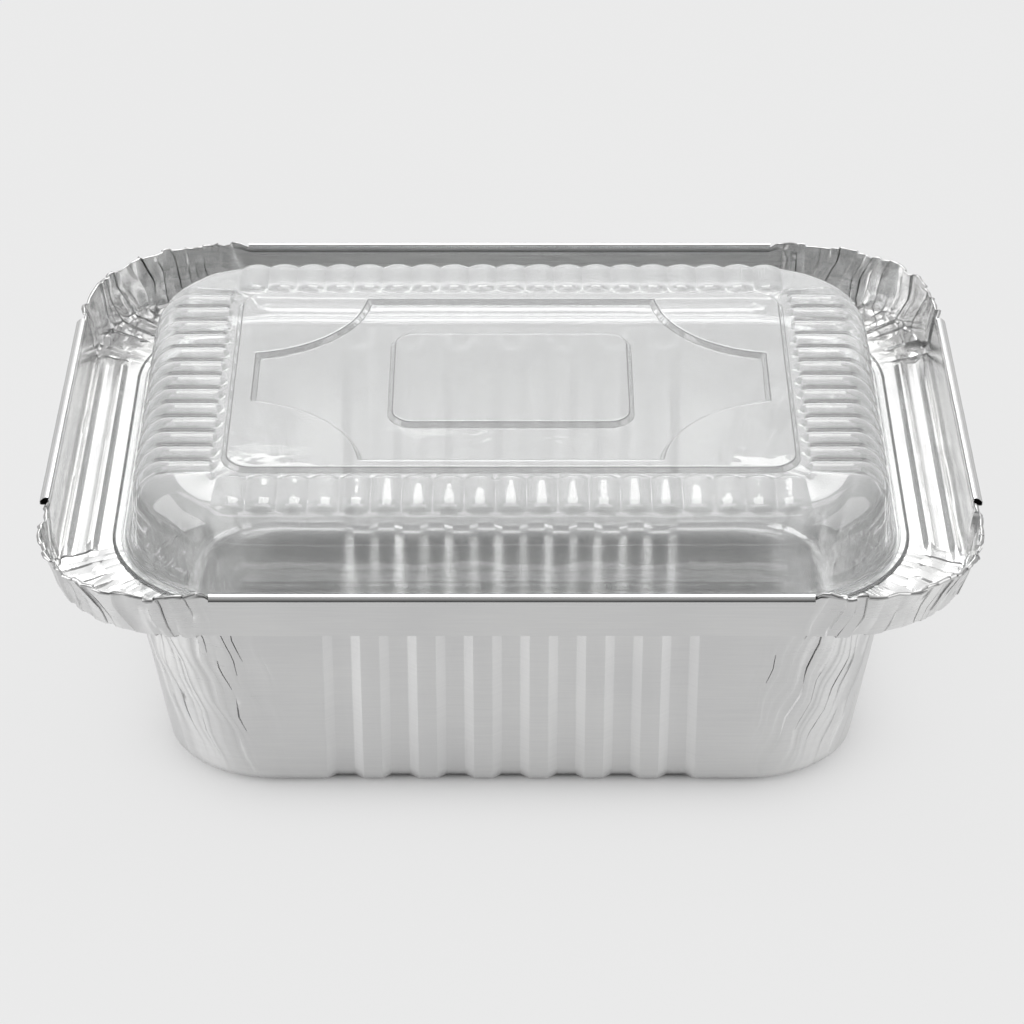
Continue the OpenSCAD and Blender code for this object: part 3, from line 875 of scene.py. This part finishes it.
    def runs(self):
        """Lists of neighbouring columns: each hem, and each corner with both hem ends."""
        straight = np.ones(self.count, bool)
        for k, gather in enumerate(self.gathers):
            beside = (gather.at <= gather.low + 1e-9) | (gather.at >= gather.high - 1e-9)
            straight[self.zone == k] = beside
        starts = [i for i in range(self.count) if straight[i] and not straight[i - 1]]
        runs = []
        for number, first in enumerate(starts):
            last = first
            while straight[(last + 1) % self.count]:
                last += 1
            following = starts[(number + 1) % len(starts)]
            if following <= last:
                following += self.count
            runs.append((np.arange(first, last + 1) % self.count, True))
            runs.append((np.arange(last, following + 1) % self.count, False))
        return runs


class CONTAINER_OT_foil_tray(bpy.types.Operator):
    """Make the foil tray with its channels, beads, rolled hems and gathered corners"""
    bl_idname = "container.foil_tray"
    bl_label = "Foil tray"

    def execute(self, context):
        settings = context.scene.foil_tray
        shape = TrayShape(settings)
        rings, crumple, painted_shades = shape.rings()
        floor = []
        edge = rings[0]
        for share in (0.3, 0.6, 0.85, 0.95):
            ring = edge * share
            ring[:, 2] = 0.0
            floor.append(ring)
        all_rings = floor + rings
        plain = np.zeros(len(edge) * len(floor))
        levels = np.concatenate([plain, *crumple])
        start = (len(all_rings) - 1) * shape.count
        extra, faces, rough, painted_shade = shape.edge_strips(all_rings[-1], start)
        obj = write_mesh(
            "foil_tray_sheet", all_rings, faces, extra,
            attributes={"crumple": np.concatenate([levels, rough]),
                        "painted_shade": np.concatenate([plain, *painted_shades, painted_shade])})
        self.add_floor_middle(obj, shape.count)
        obj.data.materials.append(rolled_foil_material("satin_foil", settings, settings.outer_roughness))
        obj.data.materials.append(rolled_foil_material("bright_foil", settings, settings.inner_roughness))
        face_down(obj)
        thicken(obj, settings.foil, 1)
        obj.data.set_sharp_from_angle(angle=CREASE_ANGLE)
        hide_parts("foil_tray")
        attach(obj, "root")
        return {"FINISHED"}

    def add_floor_middle(self, obj, count):
        """Close the middle of the floor with a fan."""
        mesh = obj.data
        bm = bmesh.new()
        bm.from_mesh(mesh)
        middle = bm.verts.new((0.0, 0.0, 0.0))
        bm.verts.ensure_lookup_table()
        for i in range(count):
            bm.faces.new((middle, bm.verts[i], bm.verts[(i + 1) % count]))
        bm.to_mesh(mesh)
        bm.free()


# The lid

# Numbers of flutes on the long and the short sides of the dome, how much of their spacing
# those of the short sides fill, and how far down the shoulder those of the long sides reach
LONG_FLUTES, SHORT_FLUTES = 19, 13
SHORT_FILL = 0.74
LONG_PAST = 4.0

# How far short of its side's end the row of flutes stops, and the columns of a corner
END_GAP, CORNER_STEPS = 1.0, 20

# Clearance between the lid's flange and the ledge
LID_SEAT = 0.1

# Insets from the rim of the dome's wall and its foot, how far the wall leans outward, the
# radius of the shoulder, and the insets of the level top, the flutes' inner ends and the
# panel
DOME_WALL, DOME_FOOT, WALL_LEAN = 20.6, 20.2, 0.3
SHOULDER = 9.3
DOME_TOP = DOME_WALL + SHOULDER
FLUTE_END = DOME_TOP + 11.0
PANEL_EDGE = 43.9

# Corner radii of the flutes' inner ends, the top, the wall's top and the wall's foot
END_CORNER, TOP_CORNER, WALL_CORNER, DOME_FOOT_CORNER = 2.0, 18.0, 29.6, 30.3

# Lengths over which a flute's inner end bows, and over which its two ends rise
BOW, INNER_RISE, OUTER_RISE = 1.9, 1.7, 1.1

# How much of the flutes' depth the grooves of the short sides still have on the wall
GROOVE_LEFT = 0.55

# Height of the waves that pressing leaves in the dome's shoulder and in its corners
WAVE, CORNER_WAVE = 0.13, 0.3

# The step round a panel: how wide and high it is, and its section, as the share of the
# width, the share of the height and how tight the bend is there, which sets its painted shade
STEP_RUN, STEP_RISE = 1.4, 1.2
STEP_SECTION = (
    (-0.2, 0.0, 0.0), (0.0, 0.0, 0.0), (0.1, 0.03, 1.0), (0.2, 0.13, 0.0),
    (0.8, 0.87, 0.0), (0.9, 0.97, 1.0), (1.0, 1.0, 0.0), (1.2, 1.0, 0.0))

# The small middle panel: half the length, half the width and the corner radius, of a ring
# on it and of its edge, and the large panel's corner radius
TABLET_INNER, TABLET_EDGE = (27.0, 20.0, 4.0), (29.0, 22.0, 5.0)
PANEL_CORNER = 6.0

# The cross: the radius of the arcs that cut its corners out, and how far in from the
# panel's edge its arms end, on the long and the short axis
CROSS_RADIUS = 33.0
ARM_GAPS = (5.5, 4.4)

# Section of the flange with its stiffening ridge: insets from the rim, and heights
FLANGE_SECTION = (
    (18.9, 0.0), (18.7, 0.08), (18.45, 0.35), (18.1, 0.7), (17.75, 0.35), (17.5, 0.08),
    (17.3, 0.0), (16.2, 0.0), (15.2, 0.0))
FLANGE_ROUND = 0.5
FLANGE_CORNER = 30.0


def rectangle(hx, hy, r, grow=0.0):
    """A maker of one quarter of a rounded rectangle, from the middle of a side."""
    hx, hy, r = hx + grow, hy + grow, r + grow

    def quarter(odd):
        a, b = (hy, hx) if odd else (hx, hy)
        angles = np.radians(np.linspace(0.0, 90.0, 13))
        arc = np.column_stack([a - r + r * np.cos(angles), b - r + r * np.sin(angles)])
        return np.vstack([[a, 0.0], arc, [0.0, b]])
    return quarter


def rounded(t):
    """Rises from 0 to 1 as a quarter of a circle does."""
    return np.sqrt(1.0 - (1.0 - np.clip(t, 0.0, 1.0)) ** 2)


class LidShape:
    """The clear lid's inner side as closed rings, from the small middle panel outward."""

    def __init__(self, s, tray):
        self.hx, self.hy = tray.rim_length * 500, tray.rim_width * 500
        self.flange_z = (tray.tray_height - tray.rim_height) * 1000 + LID_SEAT
        self.depth = s.flute_depth * 1000
        self.crest_z = self.flange_z + s.dome_height * 1000 - s.sheet * 1000
        self.wall_z = self.crest_z - SHOULDER
        self.plateau_z = self.crest_z - self.depth
        self.panel_z = self.plateau_z + STEP_RISE
        self.reach = (self.hx - FLUTE_END - END_GAP, self.hy - FLUTE_END - END_GAP)
        self.cols = Columns(
            [self.flute_places(SHORT_FLUTES, self.reach[1], SHORT_FILL),
             self.flute_places(LONG_FLUTES, self.reach[0], 1.0)], CORNER_STEPS)
        self.plan_flutes()
        self.plan_quarters()
        self.rings, self.bend_shades = [], []

    def flute_places(self, count, reach, fill):
        """Distances of a side's columns from its middle, closer together by the grooves."""
        pitch = 2 * reach / count
        inside = [0.5 + 0.5 * fill * math.sin(math.radians(a)) for a in np.arange(-90.0, 91.0, 22.5)]
        inside = inside[:-1] if fill == 1.0 else [0.0] + inside
        return [-reach + pitch * (f + t) for f in range(count) for t in inside] + [reach]

    def plan_flutes(self):
        """Work out for every column where it is across its flute, from -1 to 1, the height
        of the flute's arch there, and how far it follows the lower top of the long sides."""
        c = self.cols
        odd = c.side % 2 == 1
        self.long, self.short = odd & ~c.corner, ~odd & ~c.corner
        reach = np.where(odd, self.reach[0], self.reach[1])
        pitch = 2 * reach / np.where(odd, LONG_FLUTES, SHORT_FLUTES)
        across = 2.0 * np.mod((c.place + reach) / pitch, 1.0) - 1.0
        across = np.where(np.abs(c.place - reach) < 1e-6, -1.0, across)
        across = np.clip(np.where(odd, across, across / SHORT_FILL), -1.0, 1.0)
        after_long = np.where(odd, 1.0 - smooth(0.0, 0.9, c.turn), smooth(0.1, 1.0, c.turn))
        self.low = np.where(c.corner, after_long, odd * 1.0)
        half = 0.5 * pitch * np.where(odd, 1.0, SHORT_FILL) / self.depth
        radius = 0.5 * (half ** 2 + 1.0)
        arc = np.sqrt(radius ** 2 - (across * half) ** 2) - (radius - 1.0)
        self.arch = np.where(c.corner, 1.0 - self.low, arc)
        self.across = np.where(c.corner, 0.0, across)

    def plan_quarters(self):
        """Work out each column's quarter of the lid, and how far round the quarter it is."""
        c = self.cols
        hx, hy = self.hx - FLUTE_END, self.hy - FLUTE_END
        flat, _ = outline(c, c.place, hx, hy, END_CORNER, self.reach)
        length = np.linalg.norm(np.roll(flat, -1, axis=0) - flat, axis=1)
        self.quarter = np.where(c.corner | (c.place >= 0), c.side, (c.side + 3) % 4)
        self.share = np.zeros(c.count)
        for k in range(4):
            first = np.flatnonzero((c.side == k) & ~c.corner)[0]
            order = sorted(np.flatnonzero(self.quarter == k), key=lambda i: (i - first) % c.count)
            total = np.concatenate([[0.0], np.cumsum(length[order])])
            self.share[order] = total[:-1] / total[-1]

    def build(self):
        """Make all the rings, and say for every point how tight the sheet's bend is there, which
        sets the painted shade of its crease.
        """
        px, py = self.hx - PANEL_EDGE, self.hy - PANEL_EDGE
        self.panel_ring(rectangle(*TABLET_INNER), self.panel_z)
        self.step(lambda grow: rectangle(*TABLET_EDGE, grow), self.panel_z, self.plateau_z)
        self.step(lambda grow: self.cross(px, py, grow), self.plateau_z, self.panel_z)
        self.step(lambda grow: rectangle(px, py, PANEL_CORNER, grow), self.panel_z, self.plateau_z)
        self.dome_rings()
        self.skirt_rings()

    def panel_ring(self, make_quarter, z, bend=0.0):
        """A level ring whose four quarters each follow a line."""
        points = np.zeros((self.cols.count, 3))
        for k in range(4):
            at = self.quarter == k
            line = make_quarter(k % 2 == 1)
            length = np.linalg.norm(np.diff(line, axis=0), axis=1)
            run = np.concatenate([[0.0], np.cumsum(length)])
            run /= run[-1]
            x = np.interp(self.share[at], run, line[:, 0])
            y = np.interp(self.share[at], run, line[:, 1])
            points[at, :2] = turned(np.full(at.sum(), k), x, y)
        points[:, 2] = z
        self.rings.append(points)
        self.bend_shades.append(np.full(self.cols.count, bend))

    def step(self, make, low_z, high_z):
        """Rings over a step of the sheet, with a small radius at its top and foot."""
        for share, rise, bend in STEP_SECTION:
            self.panel_ring(make(STEP_RUN * share), low_z + (high_z - low_z) * rise, bend)

    @staticmethod
    def cross(px, py, grow):
        """A maker of one quarter of the cross: an arc that cuts the panel's corner out."""
        def quarter(odd):
            a, b = (py, px) if odd else (px, py)
            gap_a, gap_b = (gap - grow for gap in (ARM_GAPS[::-1] if odd else ARM_GAPS))
            r = CROSS_RADIUS - grow
            angles = np.linspace(math.pi / 2 + math.asin(gap_a / r), math.pi - math.asin(gap_b / r), 40)
            arc = np.column_stack([a + r * np.cos(angles), b - r * np.sin(angles)])
            return np.vstack([[a - gap_a, 0.0], arc, [0.0, b - gap_b]])
        return quarter

    def dome_stations(self):
        """Stations of the flutes and the shoulder: inset, corner radius, and the angle round
        the shoulder, which is None on the level top."""
        rows = [(FLUTE_END, END_CORNER, None)]
        near = FLUTE_END - np.array([0.35, 0.75, 1.2, 1.7, 2.3, 3.0, 4.0])
        far = np.linspace(FLUTE_END - 5.5, DOME_TOP + 0.3, 5)
        for inset in np.concatenate([near, far]):
            t = (FLUTE_END - inset) / (FLUTE_END - DOME_TOP)
            rows.append((inset, END_CORNER + (TOP_CORNER - END_CORNER) * t, None))
        angles = [np.arange(0.0, 14.0, 4.0), np.arange(14.0, 28.0, 2.0), np.arange(30.8, 91.0, 7.4)]
        for angle in np.radians(np.concatenate(angles)):
            out = math.sin(angle)
            radius = TOP_CORNER + (WALL_CORNER - TOP_CORNER) * out
            rows.append((DOME_WALL + SHOULDER * (1 - out), radius, angle))
        return rows

    def dome_rings(self):
        """The flutes on the level top and round the shoulder, down to the dome's wall."""
        # The bends beside the flutes of the short sides are tight, and get painted shade
        c = self.cols
        bow = BOW * (1.0 - np.sqrt(1.0 - self.across ** 2))
        beside = self.short & (np.abs(self.across) > 0.99) & (np.abs(c.place) < self.reach[1] - 0.1)
        for inset, radius, angle in self.dome_stations():
            flat, normal = outline(c, c.place, self.hx - inset, self.hy - inset, radius, self.reach)
            run = FLUTE_END - inset
            over = self.depth * self.arch * rounded((run - bow) / INNER_RISE)
            height = self.plateau_z + over
            if angle is not None:
                flat, height = self.shoulder_ring(flat, normal, height, over, bow, angle)
            self.rings.append(np.column_stack([flat, height]))
            self.bend_shades.append(beside * smooth(0.6, 1.0, run) * (1.0 - smooth(13.0, 16.0, run)))

    def shoulder_ring(self, flat, normal, height, over, bow, angle):
        """Bend a ring of the flutes round the shoulder by an angle."""
        groove = self.short_groove()
        shell = self.wall_z + (SHOULDER - self.low * self.depth) * math.cos(angle)
        shell -= groove * math.cos(angle)
        end = rounded((LONG_PAST - SHOULDER * angle - 0.5 * bow) / OUTER_RISE)
        height = np.where(self.long, shell + over * end, np.minimum(height, shell))
        flat = flat - normal * (groove * math.sin(angle))[:, None]
        wave = smooth(0.2, 0.5, angle) * self.waves(np.column_stack([flat, height]))
        flat = flat + normal * (wave * math.sin(angle))[:, None]
        return flat, height + wave * math.cos(angle)

    def short_groove(self):
        """How deep the grooves between the flutes of the short sides still are."""
        return np.where(self.short, self.depth * GROOVE_LEFT * (1.0 - self.arch), 0.0)

    def waves(self, points):
        """The faint waves of the dome, which are higher in its corners."""
        turn = np.where(self.cols.corner, np.sin(np.pi * self.cols.turn), 0.0)
        return (WAVE + (CORNER_WAVE - WAVE) * turn) * soft_noise(points, 7.0, 11)

    def skirt(self):
        """Stations of the dome's wall and its flange: inset, height and corner radius."""
        rows = []
        foot_z = self.flange_z + FLANGE_ROUND
        for t in (0.25, 0.5, 0.75, 0.9):
            z = self.wall_z + (foot_z - self.wall_z) * t
            rows.append((DOME_WALL - WALL_LEAN * t, z, WALL_CORNER + WALL_LEAN * t))
        for a in np.radians([30.0, 60.0]):
            inset = DOME_FOOT - FLANGE_ROUND * math.sin(a)
            rows.append((inset, foot_z - FLANGE_ROUND * (1 - math.cos(a)), DOME_FOOT_CORNER))
        for inset, lift in ((DOME_FOOT - FLANGE_ROUND, 0.0), *FLANGE_SECTION):
            rows.append((inset, self.flange_z + lift, FLANGE_CORNER + DOME_FOOT - inset))
        return rows

    def skirt_rings(self):
        """The dome's wall and the flange."""
        c = self.cols
        for inset, z, radius in self.skirt():
            flat, normal = outline(c, c.place, self.hx - inset, self.hy - inset, radius, self.reach)
            t = max(0.0, min(1.0, (z - self.flange_z) / (self.wall_z - self.flange_z)))
            groove = self.short_groove() * t if inset > DOME_FOOT - 0.1 else 0.0
            points = np.column_stack([flat, np.full(c.count, z)])
            points[:, :2] += normal * (t * self.waves(points) - groove)[:, None]
            self.rings.append(points)
            self.bend_shades.append(np.zeros(c.count))


class CONTAINER_OT_dome_lid(bpy.types.Operator):
    """Make the clear domed lid with its flutes, sunk cross and raised panels"""
    bl_idname = "container.dome_lid"
    bl_label = "Dome lid"

    def execute(self, context):
        settings = context.scene.dome_lid
        shape = LidShape(settings, context.scene.foil_tray)
        shape.build()
        obj = write_mesh(
            "dome_lid_sheet", shape.rings, middle=(0.0, 0.0, shape.panel_z),
            attributes={"edge": np.concatenate(shape.bend_shades)})
        face_down(obj)
        obj.data.materials.append(clear_sheet_material(settings))
        thicken(obj, settings.sheet)
        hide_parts("dome_lid")
        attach(obj, "root")
        return {"FINISHED"}


# The studio

# The floor: half its size, how far it is below the foot, and its rows of faces
FLOOR_REACH, FLOOR_GAP, FLOOR_STEPS = 8.0, 0.0001, 2

# Height of the point that the lamps are turned to
LAMP_AIM = 0.05

# The camera: how far it looks down, how far it is from the tray's rim, how high the rim is,
# and how far the camera is moved down, so that the rim shows above the picture's middle
CAMERA_PITCH = math.radians(31.6)
CAMERA_DISTANCE, RIM_LEVEL, CAMERA_DROP = 1.0, 0.072, 0.0258
LENS, LENS_SHIFT = 140.17, 0.001


class CONTAINER_OT_studio(bpy.types.Operator):
    """Make the pale floor, the soft lamps, the pale room and the camera"""
    bl_idname = "container.studio"
    bl_label = "Studio"

    def execute(self, context):
        settings = context.scene.studio
        self.floor(settings)
        self.room(settings)
        self.lamp("key_lamp", (0.0, 0.25, 1.1), (0.8, 0.7), settings.key_power)
        self.lamp("back_lamp", (0.0, 0.75, 0.85), (0.4, 0.5), settings.back_power)
        self.lamp("left_lamp", (-0.9, -0.2, 0.55), (0.8, 0.8), 1.6 * settings.side_power)
        self.lamp("right_lamp", (0.9, -0.2, 0.55), (0.8, 0.8), settings.side_power)
        self.camera(context)
        return {"FINISHED"}

    def floor(self, settings):
        """A wide level floor under the foot."""
        row = FLOOR_STEPS + 1
        line = np.linspace(-FLOOR_REACH, FLOOR_REACH, row)
        points = [(x, y, -FLOOR_GAP) for y in line for x in line]
        faces = [[r * row + i, r * row + i + 1, (r + 1) * row + i + 1, (r + 1) * row + i]
                 for r in range(FLOOR_STEPS) for i in range(FLOOR_STEPS)]
        mesh = bpy.data.meshes.new("studio_floor")
        mesh.from_pydata(points, [], faces)
        obj = bpy.data.objects.new("studio_floor", mesh)
        bpy.context.scene.collection.objects.link(obj)
        mesh.materials.append(self.floor_material(settings))

    def floor_material(self, settings):
        """A matt floor. Where it is seen or mirrored its shadow is lifted, more the farther
        it is from the foot, and the foil sees a soft sheen of the lamps in it."""
        material = bpy.data.materials.new("pale_floor")
        n = Nodes(material)
        place = n.add("ShaderNodeTexCoord").outputs["Object"]
        surface = n.add("ShaderNodeBsdfDiffuse")
        c = settings.floor_color
        tone = n.ramp(n.noise(place, 3.0, 2.0), [
            (0.35, tuple(v * 0.99 for v in c)), (0.65, tuple(c))])
        n.link(tone, surface.inputs["Color"])
        lit = n.add("ShaderNodeEmission")
        n.link(tone, lit.inputs["Color"])
        ray = n.add("ShaderNodeLightPath").outputs
        seen = n.math("MAXIMUM", ray["Is Camera Ray"], ray["Is Glossy Ray"])
        seen = n.math("MAXIMUM", seen, ray["Is Transmission Ray"])
        away = n.math("SUBTRACT", self.to_box(n, place), FOOT_CORNER)
        fade = n.math("EXPONENT", n.math("MULTIPLY", away, -1.0 / settings.shadow_reach))
        lift = n.math("MULTIPLY", n.math("SUBTRACT", 1.0, fade, clamp=True), settings.floor_glow)
        lifted = n.mix_shader(n.math("MULTIPLY", seen, lift), surface.outputs[0], lit.outputs[0])
        sheen = n.add("ShaderNodeBsdfGlossy")
        sheen.inputs["Roughness"].default_value = 0.3
        shiny = n.math("MULTIPLY", ray["Is Glossy Ray"], settings.floor_sheen)
        n.finish(n.mix_shader(shiny, lifted, sheen.outputs[0]))
        return material

    @staticmethod
    def to_box(n, place):
        """Distance from the box that the rounded foot of the tray is drawn about."""
        half = [v - FOOT_INSET - FOOT_CORNER for v in TRAY_BOX[1][:2]] + [1.0]
        for operation, value in (
                ("ABSOLUTE", None), ("SUBTRACT", half), ("MAXIMUM", (0.0, 0.0, 0.0)), ("LENGTH", None)):
            node = n.add("ShaderNodeVectorMath", operation=operation)
            n.link(place, node.inputs[0])
            if value is not None:
                node.inputs[1].default_value = value
            place = node.outputs["Value" if operation == "LENGTH" else "Vector"]
        return place

    def room(self, settings):
        """A pale room with a broad bright panel behind the object, a greyer horizon and a
        darker side towards the camera."""
        world = bpy.data.worlds.new("pale_room")
        bpy.context.scene.world = world
        n = Nodes(world)
        place = n.add("ShaderNodeTexCoord").outputs["Generated"]
        split = n.add("ShaderNodeSeparateXYZ")
        n.link(place, split.inputs[0])
        c = settings.room_color
        tone = n.ramp(split.outputs["Z"], [
            (0.0, tuple(v * 0.8 for v in c)), (0.3, tuple(v * 0.85 for v in c)), (1.0, tuple(c))])

        def toward(y, tightness):
            """Bright towards one side of the room, at the panel's height."""
            node = n.add("ShaderNodeVectorMath", operation="DOT_PRODUCT")
            node.inputs[1].default_value = (
                0.0, y * math.cos(settings.panel_rise), math.sin(settings.panel_rise))
            n.link(place, node.inputs[0])
            return n.math("POWER", n.math("MAXIMUM", node.outputs["Value"], 0.0), tightness)

        lit = n.math("MULTIPLY_ADD", toward(1.0, 13.0), settings.panel_glow, 1.0)
        dark = n.math("MULTIPLY", toward(-1.0, 3.0), settings.front_shade)
        back = n.add("ShaderNodeBackground")
        n.link(tone, back.inputs["Color"])
        n.link(n.math("SUBTRACT", lit, dark), back.inputs["Strength"])
        n.finish(back.outputs[0], "ShaderNodeOutputWorld")

    def lamp(self, name, place, size, power):
        """A soft lamp, turned to the middle of the object."""
        light = bpy.data.lights.new(name, "AREA")
        light.shape = "RECTANGLE"
        light.size, light.size_y = size
        light.energy = power
        obj = bpy.data.objects.new(name, light)
        obj.location = place
        aim = Vector((0.0, 0.0, LAMP_AIM)) - Vector(place)
        obj.rotation_euler = aim.to_track_quat("-Z", "Y").to_euler()
        bpy.context.scene.collection.objects.link(obj)

    def camera(self, context):
        """The photograph's camera, and how the picture is developed."""
        data = bpy.data.cameras.new("camera")
        data.sensor_width = 36.0
        data.lens = LENS
        data.shift_x = LENS_SHIFT
        data.clip_start = 0.01
        obj = bpy.data.objects.new("camera", data)
        up, back = math.sin(CAMERA_PITCH), math.cos(CAMERA_PITCH)
        obj.location = (
            0.0,
            -CAMERA_DISTANCE * back - CAMERA_DROP * up,
            RIM_LEVEL + CAMERA_DISTANCE * up - CAMERA_DROP * back)
        obj.rotation_euler = (math.pi / 2 - CAMERA_PITCH, 0.0, 0.0)
        context.scene.collection.objects.link(obj)
        context.scene.camera = obj
        context.scene.view_settings.view_transform = "Standard"
        context.scene.cycles.glossy_bounces = 6
        context.scene.cycles.adaptive_threshold = 0.06


class CONTAINER_PT_panel(bpy.types.Panel):
    """The container's settings and makers"""
    bl_label = "Foil food container"
    bl_idname = "CONTAINER_PT_panel"
    bl_space_type = "VIEW_3D"
    bl_region_type = "UI"
    bl_category = "Container"

    def draw(self, context):
        """Each piece's settings with its maker under them."""
        for group, maker in (("foil_tray", "container.foil_tray"),
                             ("dome_lid", "container.dome_lid"),
                             ("studio", "container.studio")):
            box = self.layout.box()
            settings = getattr(context.scene, group)
            for key in settings.__annotations__:
                box.prop(settings, key)
            box.operator(maker)


CLASSES = (
    FoilTraySettings, DomeLidSettings, StudioSettings,
    CONTAINER_OT_foil_tray, CONTAINER_OT_dome_lid, CONTAINER_OT_studio, CONTAINER_PT_panel)


def register():
    """Make the operators, the panel and the settings known to Blender."""
    for cls in CLASSES:
        bpy.utils.register_class(cls)
    bpy.types.Scene.foil_tray = PointerProperty(type=FoilTraySettings)
    bpy.types.Scene.dome_lid = PointerProperty(type=DomeLidSettings)
    bpy.types.Scene.studio = PointerProperty(type=StudioSettings)


def unregister():
    """Take them out again."""
    del bpy.types.Scene.studio
    del bpy.types.Scene.dome_lid
    del bpy.types.Scene.foil_tray
    for cls in reversed(CLASSES):
        bpy.utils.unregister_class(cls)


def main():
    """Build everything."""
    register()
    bpy.ops.container.foil_tray()
    bpy.ops.container.dome_lid()
    bpy.ops.container.studio()


if __name__ == "__main__":
    main()
